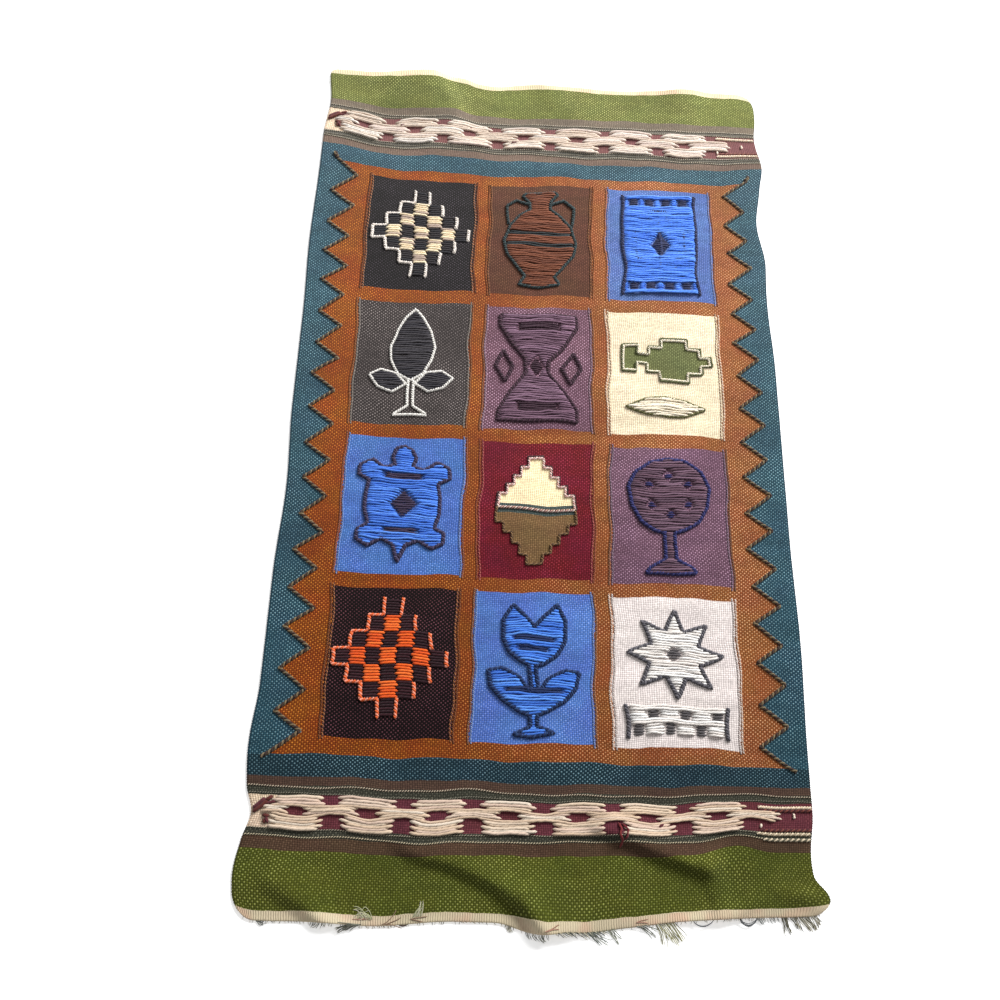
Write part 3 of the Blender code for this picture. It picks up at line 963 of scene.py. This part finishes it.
# Two red ends that hang loose below the lower band: radius, hue, slack, then its points across and along
RED_ENDS = (
    (0.0012, "7a2a2c", 0.0022,
     ((0.090, -0.451), (0.093, -0.457), (0.0915, -0.463), (0.0945, -0.470), (0.092, -0.4765))),
    (0.0011, "6a242a", 0.0018, ((0.0935, -0.452), (0.1, -0.458), (0.0985, -0.466), (0.096, -0.469))),
)

floating = float_tree()
chain_finish = spun_yarn("thick_chain_yarn", 0.0140, 0.94, 0.12)
chance = random.Random(5)
slack = {"Step": 0.0024, "Dive": 0.006, "Stray": 0.0030, "Scatter": 110.0, "Sides": 7}
lower = chain_floats(LOWER_CHAIN, LOWER_WINDING, CREAMS, chance)
lower_chain = work("lower_chain_floats", lower, floating, chain_finish, **slack)
upper = chain_floats(UPPER_CHAIN, UPPER_WINDING, UPPER_CREAMS, chance)
upper_chain = work("upper_chain_floats", upper, floating, chain_finish, **slack)

strokes = []
for middle in BAND_MIDDLES:
    for ax, ay, bx, by, thick, hue in STROKES:
        path = [(ax, middle + ay, THICKNESS), (bx, middle + by, THICKNESS)]
        strokes.append(yarn(path, thick, hue, None, 0.0018))
for ax, ay, bx, by in SLIPS:
    path = [(ax, ay, THICKNESS + 0.0012), (bx, by, THICKNESS + 0.0012)]
    strokes.append(yarn(path, 0.0014, MAROON, None, 0.0016))
for thick, hue, rise, places in RED_ENDS:
    strokes.append(yarn([(x, y, THICKNESS + 0.0002) for x, y in places], thick, hue, None, rise))
slack = {"Step": 0.0014, "Dive": 0.003, "Stray": 0.001, "Scatter": 150.0, "Sides": 8}
band_strokes = work("band_end_strokes", strokes, floating, chain_finish, **slack)

end_rows = []
for along, start, first, second in END_ROWS:
    path = [(start + (0.2985 - start) * step / 6, along, THICKNESS + 0.0004) for step in range(7)]
    end_rows.append(yarn(path, 0.00105, first, second))
band_end_rows = work("band_end_rows", end_rows, twined, cord_finish, Step=0.0011, Lay=0.0060, Sides=6)


# ---- The chequered diamonds --------------------------------------------------------------------------
# Two squares each have a diamond of short floats, five rows high: light blocks and dark ones by turns, with
# a stepped cord round it. The maker joined the cord's steps on the left only.

BLOCK = 0.0175
BLOCK_TALL = 0.0188
BLOCK_YARNS = 6

# Columns: square's column and row, off centre across and along, light floats, dark floats, cord's yarns
CHEQUERS = (
    (0, 0, 0.000, 0.000, ("efdfbe", "e6d3b2", "b5a294"), ("26262c", "2c282c"), ("efe6dc", "d8cfc8")),
    (0, 3, -0.003, 0.005, ("f0641e", "f5732c", "e4581c"), ("35141c", "2a1018"), ("ee6a34", "f29a80")),
)

chance = random.Random(8)
block_strands = []
step_strands = []
for column, row, off_across, off_along, lights, darks, cord_yarns in CHEQUERS:
    middle_across, middle_along = square_middle(column, row)
    middle_across += off_across
    middle_along += off_along
    blocks = [(0, 3, False), (0, -3, False)]
    for level, count in zip((2, 1, 0, -1, -2), (1, 2, 3, 2, 1)):
        blocks += [(place, level, (place + count) % 2 == 1) for place in range(-count, count + 1)]
    for place, level, light in blocks:
        lean = chance.choice((-1, 1))
        for thread in range(BLOCK_YARNS):
            along = middle_along + (level + (thread + 0.5) / BLOCK_YARNS - 0.5) * BLOCK_TALL
            jag = lean * (0.0010 if thread % 2 else -0.0010)
            reach = BLOCK / 2 + (0.0008 if light else -0.0004)
            left = middle_across + place * BLOCK - reach + jag + chance.uniform(-0.0007, 0.0007)
            right = middle_across + place * BLOCK + reach + jag + chance.uniform(-0.0007, 0.0007)
            path = [(left, along, THICKNESS - 0.0002), (right, along, THICKNESS - 0.0002)]
            rise = 0.0015 + chance.uniform(0, 0.0008) if light else 0.0009
            hue = chance.choice(lights if light else darks)
            block_strands.append(yarn(path, 0.00145, hue, None, rise))
    for count, level in ((1, 2), (2, 1), (3, 0), (2, -1), (1, -2)):
        for side in (-1, 1):
            path = []
            for share in (0.44, 0.15, -0.15, -0.44):
                across = middle_across + (side * (count + 0.58) + chance.uniform(-0.05, 0.05)) * BLOCK
                path.append((across, middle_along + (level + share) * BLOCK_TALL, THICKNESS + 0.0010))
            step_strands.append(yarn(path, 0.00130, *cord_yarns))
    for outer, level in ((1.58, 2.5), (2.58, 1.5), (3.58, 0.5), (3.58, -0.5), (2.58, -1.5), (1.58, -2.5)):
        path = []
        for reach in (outer - 1, outer - 0.5, outer):
            along = middle_along + (level + chance.uniform(-0.03, 0.03)) * BLOCK_TALL
            path.append((middle_across - reach * BLOCK, along, THICKNESS + 0.0008))
        step_strands.append(yarn(path, 0.00115, *cord_yarns))
    for side in (-1, 1):
        for low, high in ((2.5, 3.6), (-3.6, -2.5)):
            across = middle_across + side * 0.58 * BLOCK
            ends = [middle_along + level * BLOCK_TALL for level in (high, low)]
            path = [(across, along, THICKNESS + 0.0008) for along in ends]
            step_strands.append(yarn(path, 0.00120, *cord_yarns))
float_finish = spun_yarn("figure_float_yarn", 0.0100, 0.82, 0.10)
slack = {"Step": 0.0018, "Dive": 0.003, "Stray": 0.001, "Scatter": 220.0, "Sides": 7}
chequer_floats = work("chequer_floats", block_strands, floating, float_finish, **slack)
chequer_cords = work("chequer_cords", step_strands, twined, cord_finish, Step=0.0011, Lay=0.0062, Sides=6)


# ---- The figures -------------------------------------------------------------------------------------
# Eight squares have a raised figure: long slack floats from one side of its outline to the other, dark
# floats for its blots, and a thick wrapped cord round it. Two more squares have an outlined inlay.

FLOAT_PITCH = 0.0029


def mirrored(half):
    """A closed outline from its right half, given from the top to the bottom."""
    return (*half, *((-x, y) for x, y in reversed(half)))


def doubled(upper):
    """A whole outline from its upper half."""
    return (*upper, *((x, -y) for x, y in reversed(upper)))


def pair(path):
    """A path and its mirror image."""
    return (path, tuple((-x, y) for x, y in path))


def round_trip(path):
    """A path that ends where it starts."""
    return (*path, path[0])


def moved(path, wide, tall, up):
    """A path stretched both ways and then moved up."""
    return tuple((x * wide, y * tall + up) for x, y in path)


def lozenge(x, y, half_width, half_height):
    return ((x, y + half_height), (x + half_width, y), (x, y - half_height), (x - half_width, y))


def block(x, y, half_width, half_height):
    left, right, top, bottom = x - half_width, x + half_width, y + half_height, y - half_height
    return ((left, top), (right, top), (right, bottom), (left, bottom))


def steps_down(top, steps):
    """Steps 9 wide and 12 high, from the middle at this height outwards."""
    return [(9 * step + out, top - 12 * step) for step in range(steps) for out in (0, 9)]


def crossings(outlines, level):
    """Where a pick at this level goes in and out of closed outlines, from left to right."""
    found = []
    for outline in outlines:
        for (ax, ay), (bx, by) in zip(outline, outline[1:] + outline[:1]):
            if (ay > level) != (by > level):
                found.append(ax + (level - ay) * (bx - ax) / (by - ay))
    return sorted(found)


JAR = mirrored(
    ((0, 56), (15, 56), (17, 53), (11, 45), (10, 36), (20, 28), (32, 14), (36, -4), (32, -20), (21, -36),
     (14, -44), (19, -54), (0, -56))
)
PANEL = block(0, 0, 41, 61)
STAIRS = (*steps_down(42, 3), (27, 0), *((x, -y) for x, y in reversed(steps_down(42, 3))))
LEAF = mirrored(((0, 60), (8, 50), (17, 34), (22, 16), (20, 0), (12, -14), (0, -22)))
LEAFLET = ((4, -26), (14, -14), (30, -10), (40, -16), (30, -28), (16, -34))
HOURGLASS = mirrored(doubled(((0, 58), (38, 58), (38, 46), (26, 26), (11, 7))))
TORTOISE = mirrored(
    ((0, 60), (8, 57), (11, 48), (8, 39), (18, 35), (30, 43), (41, 38), (42, 28), (32, 22), (35, 8),
     (35, -8), (32, -22), (42, -28), (41, -38), (30, -43), (18, -35), (6, -41), (0, -56))
)
TREE = mirrored(
    ((0, 56), (16, 53), (30, 42), (37, 26), (36, 8), (27, -7), (14, -15), (5, -18), (5, -44), (18, -52),
     (22, -57), (0, -58))
)
TURNS = (0, 1.05, 2.09, 3.14, 4.19, 5.24)
BERRIES = tuple(lozenge(20 * math.sin(turn), 20 + 20 * math.cos(turn), 5, 6) for turn in TURNS)
TULIP = mirrored(
    ((0, 36), (9, 47), (20, 59), (28, 44), (28, 26), (22, 12), (11, 3), (3, 0), (3, -26), (14, -12),
     (30, -3), (43, -4), (40, -18), (28, -32), (13, -42), (3, -46), (3, -56), (17, -62), (0, -65))
)
STAR = tuple(
    (radius * math.sin(point * math.pi / 8), 16 + radius * math.cos(point * math.pi / 8))
    for point, radius in enumerate((42, 23) * 8)
)
FISH = doubled(
    ((58, 0), (58, 6), (46, 6), (46, 17), (30, 17), (30, 28), (-4, 28), (-4, 17), (-20, 17), (-20, 6),
     (-34, 6), (-34, 18), (-52, 18))
)
RIPPLE = mirrored(((0, -33), (20, -35), (42, -45), (20, -55), (0, -57)))
HALF_STEPS = (*steps_down(66, 5), (45, 0))
UPPER_STEPS = (*((-x, y) for x, y in reversed(HALF_STEPS)), *HALF_STEPS)
LOWER_STEPS = tuple((x, -y) for x, y in UPPER_STEPS)

# Columns: name, square's column and row, stretch across and along; float hues, blot hues, cord's yarns and
# radius; outlines filled with floats, blots cut out of the fill; corded paths. Millimetres from the middle
# of the square. The stairs are cords under the panel's floats, and show only where those part
FIGURES = (
    ("two-handled jar", 1, 0, 1.32, 1.32,
     ("7a4630", "6b3c2a"), ("2a3236",), ("2a3436", "35474a"), 0.00125,
     (JAR,), (block(0, 6, 33, 2.6), block(0, -8, 34, 2.6)),
     (round_trip(JAR), *pair(((10, 42), (24, 47), (34, 38), (33, 16))))),
    ("lozenge on a panel", 2, 0, 1.18, 1.26,
     ("4f86e6", "5f94ee", "4478d8"), ("2b3152",), ("262c4c", "39426a"), 0.00130,
     (PANEL,),
     (*(block(x, y, 5.5, 4.5) for y in (-52, 52) for x in (-29, -10, 10, 29)), lozenge(0, 0, 11, 15)),
     (*pair(round_trip(STAIRS)), *pair(((42, 62), (40, 30), (42, 0), (40, -30), (42, -62))))),
    ("leaf and two leaflets", 0, 1, 1.28, 1.26,
     ("403d42", "35333a"), ("8e8a88",), ("f2efe9", "dcd8d2"), 0.00105,
     (LEAF, *pair(LEAFLET)), (),
     (round_trip(LEAF), *pair(round_trip(LEAFLET)), *pair(((2.5, -22), (2.5, -50), (16, -58))),
      ((-16, -59), (16, -59)))),
    ("hourglass", 1, 1, 1.28, 1.28,
     ("77596c", "664a5c", "84657a"), ("3d2634",), ("38242f", "4e3343"), 0.00140,
     (HOURGLASS,), (block(0, 44, 20, 4), block(0, -44, 20, 4), lozenge(0, 0, 7, 12)),
     (round_trip(HOURGLASS), *pair(round_trip(lozenge(33, 0, 9, 17))))),
    ("ripple under the fish", 2, 1, 1.15, 1.10,
     ("f3e8d2", "ece0c8", "faf2e0"), ("6b6a48",), ("62613c", "7c7a52"), 0.00110,
     (RIPPLE,), (),
     (round_trip(RIPPLE),)),
    ("fish, pale cord", 2, 1, 1.00, 1.00,
     (), (), ("f6eedb", "e2d6bc"), 0.00095,
     (), (),
     (moved(FISH, 1, 1, 18),)),
    ("fish, olive cord", 2, 1, 1.00, 1.00,
     (), (), ("565a38", "6f7350"), 0.00090,
     (), (),
     (moved(FISH, 1.045, 1.09, 18),)),
    ("tortoise", 0, 2, 1.25, 1.25,
     ("4a80e2", "5a90ee", "3f72d2"), ("3a2f48",), ("322c48", "4a4464"), 0.00145,
     (TORTOISE,), (lozenge(0, 0, 13, 15), block(0, 28, 17, 2.4), block(0, -27, 17, 2.4)),
     (round_trip(TORTOISE),)),
    ("lozenge, pink cord", 1, 2, 1.00, 1.00,
     (), (), ("f4dcd2", "d8a8a0"), 0.00095,
     (), (),
     (round_trip(UPPER_STEPS),)),
    ("lozenge, dark cord", 1, 2, 1.05, 1.04,
     (), (), ("3a2a2c", "5a3a3c"), 0.00070,
     (), (),
     (round_trip(UPPER_STEPS),)),
    ("lozenge, brown cord", 1, 2, 1.02, 1.02,
     (), (), ("8a6a48", "5a4430"), 0.00090,
     (), (),
     (round_trip(LOWER_STEPS),)),
    ("round tree", 2, 2, 1.28, 1.28,
     ("6a4e5e", "5c4454", "785c6e"), ("2a2a5c",), ("262656", "3a3d74"), 0.00145,
     (TREE,), BERRIES,
     (round_trip(TREE),)),
    ("tulip", 1, 3, 1.22, 1.20,
     ("4b86e8", "5c96f0", "3f74d4"), ("22325e",), ("1d2c56", "2c4470"), 0.00145,
     (TULIP,), (block(0, 26, 18, 2.6), block(0, 15, 13, 2.6), block(0, -22, 26, 2.4)),
     (round_trip(TULIP),)),
    ("star over a chequer", 2, 3, 1.28, 1.18,
     ("f6f1ec", "efe8e2", "fbf8f5"), ("5a5658",), ("56545a", "716e74"), 0.00145,
     (STAR, block(0, -47, 42, 13)),
     (*(block(x, y, 5, 4.5) for x, y in zip((-35, -21, -7, 7, 21, 35), (-54.5, -41.5) * 3)),
      lozenge(0, 16, 8, 8)),
     (round_trip(STAR), *pair(((44, -33), (43, -47), (44, -62))))),
)

chance = random.Random(21)
fill_strands = []
outline_strands = []
for _, column, row, wide, tall, fill_hues, blot_hues, cord_yarns, thick, fills, blots, cords in FIGURES:
    middle_across, middle_along = square_middle(column, row)
    fills = [moved(shape, wide, tall, 0) for shape in fills]
    blots = [moved(shape, wide, tall, 0) for shape in blots]
    for outlines, hues, rise in ((fills + blots, fill_hues, 0.0016), (blots, blot_hues, 0.0012)):
        for pick in range(-29, 30):
            along = middle_along + pick * FLOAT_PITCH
            edges = crossings(outlines, pick * FLOAT_PITCH * 1000 + 0.1)
            for left, right in zip(edges[::2], edges[1::2]):
                left += chance.uniform(-0.6, 0.8)
                right += chance.uniform(-0.8, 0.6)
                if right - left < 3:
                    continue
                path = [(middle_across + edge / 1000, along, THICKNESS - 0.0002) for edge in (left, right)]
                lift = rise + (right - left) * 0.000012 + chance.uniform(0, 0.0006)
                fill_strands.append(yarn(path, 0.00142, chance.choice(hues), None, lift))
    for cord in cords:
        path = []
        for x, y in moved(cord, wide, tall, 0):
            x += chance.uniform(-0.5, 0.5)
            y += chance.uniform(-0.5, 0.5)
            path.append((middle_across + x / 1000, middle_along + y / 1000, THICKNESS + 0.0011))
        outline_strands.append(yarn(path, thick, *cord_yarns))
slack = {"Step": 0.0030, "Dive": 0.005, "Stray": 0.0046, "Scatter": 170.0, "Sides": 6}
figure_floats = work("figure_floats", fill_strands, floating, float_finish, **slack)
figure_cords = work("figure_cords", outline_strands, twined, cord_finish, Step=0.0012, Lay=0.0062, Sides=5)


# ---- The selvedges -----------------------------------------------------------------------------------
# Each weft turns round the doubled edge warp on its way back, which makes a beaded cord of whatever colour
# is being woven there.

def selvedge_yarn(plan):
    """The weft's own colours, on a cord."""
    finish, tree, shader = yarn_shader("selvedge_yarn", 0.92, 0.04)
    place, across, along = on_loom(tree)
    woven = add_node(tree, "ShaderNodeGroup", {"node_tree": plan}, Across=across, Along=along).outputs
    tone = cloudy(tree, place, 120.0) * 0.5 + 0.68
    feed(shader.inputs["Base Color"], with_painted_light(tree, along, woven["Weft"], tone))
    bumped(tree, shader, cloudy(tree, place, 1500.0), 0.0003, 0.6)
    return finish


edges = []
for side in (-1, 1):
    across = side * (WIDTH / 2 - 0.0006)
    path = [(across, (step / 60 - 0.5) * (LENGTH - 0.004), THICKNESS / 2) for step in range(61)]
    edges.append(yarn(path, 0.00085, RUST[0]))
selvedges = work("selvedges", edges, twined, selvedge_yarn(weft_colours), Step=0.0012, Lay=0.0056, Sides=6)


# ---- The frayed warp ends ----------------------------------------------------------------------------
# Most warp ends are cut close under the hem. Here and there they have frayed out into tufts, which mostly
# lean the same way, some grey with dirt and curled up. Two more lie back over the hem.

# Columns: place, across, length, half width, lean in degrees towards the right, curl in degrees every 2 mm,
# threads, hues
TUFTS = (
    ("curl by the left corner", -0.275, 0.010, 0.003, -10, 30, 9, ("6c6f68", "9c9c92")),
    ("far left", -0.240, 0.004, 0.010, 20, 6, 7, ("b5ab94", "8a8578")),
    ("left", -0.214, 0.009, 0.008, 10, -16, 12, ("a3a49a", "c0bcaa")),
    ("thick one leaning left", -0.176, 0.021, 0.006, -78, 2, 16, ("5c5e54", "a3a28e", "77786a")),
    ("under the laid back ones", -0.150, 0.005, 0.010, 15, 8, 8, ("9a917c", "c7bda6")),
    ("beside the fold", -0.062, 0.005, 0.012, 30, 12, 8, ("8a8674", "b9b29a")),
    ("pale, in the middle", -0.023, 0.010, 0.003, 8, 8, 7, ("cdc7b0", "a6a494")),
    ("dark, in the middle", 0.006, 0.011, 0.012, -14, 14, 14, ("5a6258", "8a8f7e", "b0ae9c")),
    ("comb right of the middle", 0.050, 0.013, 0.024, 54, 1, 24, ("4e5448", "ded6ba", "8a8c78")),
    ("its first tail", 0.062, 0.025, 0.005, 44, 1, 7, ("6c756e", "a3a999")),
    ("its second tail", 0.080, 0.021, 0.004, 46, -1, 7, ("8c9482", "b8baa6")),
    ("thin and sweeping", 0.112, 0.024, 0.006, 62, -2, 8, ("7c8176", "aeb0a2")),
    ("longest comb", 0.137, 0.030, 0.010, 36, -1, 22, ("b9b684", "77754e", "e2deb8", "9c9a66")),
    ("short, pale", 0.206, 0.004, 0.010, 25, 6, 8, ("c9c2ac", "a39e8c")),
    ("thin grey", 0.236, 0.011, 0.006, 42, -4, 7, ("b0b4b0", "8e9490")),
    ("second thin grey", 0.249, 0.009, 0.005, 40, -4, 6, ("b8bbb8", "9a9f9c")),
    ("dark and straight", 0.261, 0.020, 0.003, 9, 1, 12, ("545140", "9a9782", "6c6954")),
    ("thick comb by the corner", 0.279, 0.020, 0.013, 36, -1, 30, ("4c493a", "b9b39c", "6e6b58", "d2ccb6")),
)

# Threads that loop out and back in. Columns: start across, end across, how far out, threads, hues
LOOPS = (
    (0.166, 0.188, 0.008, 3, ("a2a3a8", "7d8086")),
    (0.214, 0.234, 0.010, 7, ("4e5256", "7e8284")),
    (-0.134, -0.124, 0.003, 3, ("6d5648", "8a7464")),
)

# Threads that lie on the cloth: two tufts that fell back over the hem, and loose ones. Columns: across,
# along, length, half width, heading in degrees, curl, threads, hues
FALLEN = (
    (-0.168, -0.5400, 0.018, 0.008, 92, 22, 14, ("d5d8a8", "c9c9a0", "ece4cc")),
    (-0.116, -0.5400, 0.015, 0.005, 66, 6, 10, ("d5d8a8", "e6dfc4")),
    (-0.176, -0.5400, 0.009, 0.006, 8, 4, 5, ("c08a76", "d2a48e")),
    (-0.150, -0.5435, 0.026, 0.002, 12, 3, 3, ("a07e66", "b5967c")),
    (-0.122, -0.5405, 0.016, 0.002, -4, 3, 2, ("a07e66", "b5967c")),
    (0.014, -0.5430, 0.018, 0.001, 14, -3, 2, ("c08a76", "cc9c86")),
    (0.108, -0.5415, 0.016, 0.001, 4, 1, 2, ("c08a76", "cc9c86")),
)
HEM_EDGE = -0.5440
WARP_ENDS = 240
TUFT_STEP = 0.0020
THREAD = 0.00034


def frayed(across, along, length, heading, curl, hue, level, chance):
    """One loose thread: it sets off at a heading in degrees and keeps curling the same way."""
    path = [(across, along, level)]
    for step in range(max(2, round(length / TUFT_STEP))):
        heading += curl + chance.uniform(-5, 5)
        across += TUFT_STEP * math.cos(math.radians(heading))
        along += TUFT_STEP * math.sin(math.radians(heading))
        level = max(THREAD * 2.2, level - 0.0005) if along < -LENGTH / 2 else THICKNESS + 0.0004
        path.append((across, along, level + chance.uniform(0, 0.0003)))
    return yarn(path, THREAD * chance.uniform(0.8, 1.3), hue, None, 0.0)


chance = random.Random(17)
threads = []
for end in range(WARP_ENDS):
    across = -0.2975 + end * WARP_PITCH + chance.uniform(-0.0008, 0.0008)
    if chance.random() < 0.45:
        hue = chance.choice(("a49b84", "cfc4aa", "6f6a5c", "e2d8c0"))
        curl = chance.uniform(-14, 14)
        reach = chance.uniform(0.001, 0.003)
        threads.append(frayed(across, HEM_EDGE, reach, -75 + curl, curl, hue, 0.0016, chance))
for _, middle, length, half, lean, curl, count, hues in TUFTS:
    for thread in range(count):
        off = (2 * thread + 1) / count - 1 + chance.uniform(-0.6, 0.6) / count
        reach = length * chance.uniform(0.75, 1.05) * (1 - 0.25 * abs(off))
        bend = chance.uniform(0.5, 1.3) * curl
        heading = lean - 90 + chance.uniform(-5, 5)
        hue = hues[thread % len(hues)]
        across = middle + off * half
        threads.append(frayed(across, HEM_EDGE + 0.0005, reach, heading, bend, hue, 0.0018, chance))
for start, end, depth, count, hues in LOOPS:
    for thread in range(count):
        dip = depth * chance.uniform(0.5, 1.0)
        path = []
        for step in range(9):
            across = start + (end - start) * step / 8 + chance.uniform(-0.0004, 0.0004)
            path.append((across, HEM_EDGE - dip * math.sin(math.pi * step / 8) ** 0.7, 0.0014))
        threads.append(yarn(path, THREAD, hues[thread % len(hues)]))
for middle, along, length, half, lean, curl, count, hues in FALLEN:
    for thread in range(count):
        off = (2 * thread + 1) / count - 1
        heading = lean + chance.uniform(-8, 8)
        reach = length * chance.uniform(0.7, 1.0)
        bend = curl * chance.uniform(0.3, 1.2) * (-1 if off < -0.3 else 1)
        hue = hues[thread % len(hues)]
        across = middle + off * half
        threads.append(frayed(across, along, reach, heading, bend, hue, THICKNESS + 0.0006, chance))
slack = {"Step": 0.0012, "Dive": 0.002, "Stray": 0.0008, "Scatter": 300.0, "Sides": 4}
fringe = work("fringe_tufts", threads, floating, spun_yarn("warp_cotton", 0.0030, 0.08), **slack)
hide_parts("fringe")


# ---- The studio --------------------------------------------------------------------------------------
# A plain white floor that shines a little itself, soft light from the far right, and a camera held over the
# hem end.

def add_softbox(name, place, size, power, towards):
    lamp = bpy.data.lights.new(name, "AREA")
    lamp.shape = "DISK"
    lamp.size = size
    lamp.energy = power
    softbox = bpy.data.objects.new(name, lamp)
    softbox.location = place
    softbox.rotation_euler = (Vector(towards) - Vector(place)).to_track_quat("-Z", "Y").to_euler()
    bpy.context.scene.collection.objects.link(softbox)


add_softbox("window_light", (3.0, 3.8, 3.3), 2.8, 640.0, (0.0, 0.0, 0.0))
add_softbox("ceiling_light", (0.0, -0.3, 2.6), 1.6, 12.0, (0.0, 0.0, 0.0))

sky = bpy.data.worlds.new("studio")
sky.use_nodes = True
daylight = sky.node_tree.nodes["Background"].inputs
daylight["Color"].default_value = (1.0, 1.0, 1.0, 1.0)
daylight["Strength"].default_value = 0.28
bpy.context.scene.world = sky
bpy.context.scene.view_settings.view_transform = "Standard"

floor_mesh = bpy.data.meshes.new("studio_floor")
floor_mesh.from_pydata([(-4, -4, 0), (4, -4, 0), (4, 4, 0), (-4, 4, 0)], [], [(0, 1, 2, 3)])
floor_finish = bpy.data.materials.new("studio_floor")
floor_finish.use_nodes = True
white_paint = floor_finish.node_tree.nodes["Principled BSDF"].inputs
white_paint["Base Color"].default_value = (0.97, 0.97, 0.97, 1.0)
white_paint["Roughness"].default_value = 0.8
white_paint["Emission Color"].default_value = (1.0, 1.0, 1.0, 1.0)
white_paint["Emission Strength"].default_value = 0.35
floor_mesh.materials.append(floor_finish)
floor = bpy.data.objects.new("studio_floor", floor_mesh)
bpy.context.scene.collection.objects.link(floor)

camera_lens = bpy.data.cameras.new("camera")
camera_lens.lens = 36.0
camera_lens.sensor_width = 36.0
camera = bpy.data.objects.new("camera", camera_lens)
camera.location = (-0.0799, -0.5169, 1.105)
camera.rotation_euler = (math.radians(21.498), math.radians(-2.382), math.radians(1.547))
bpy.context.scene.collection.objects.link(camera)
bpy.context.scene.camera = camera

on_the_cloth = [zigzag_cords, side_cords, pinstripes, lower_chain, upper_chain, band_strokes, band_end_rows]
on_the_cloth += [chequer_floats, chequer_cords, figure_floats, figure_cords, selvedges, fringe]
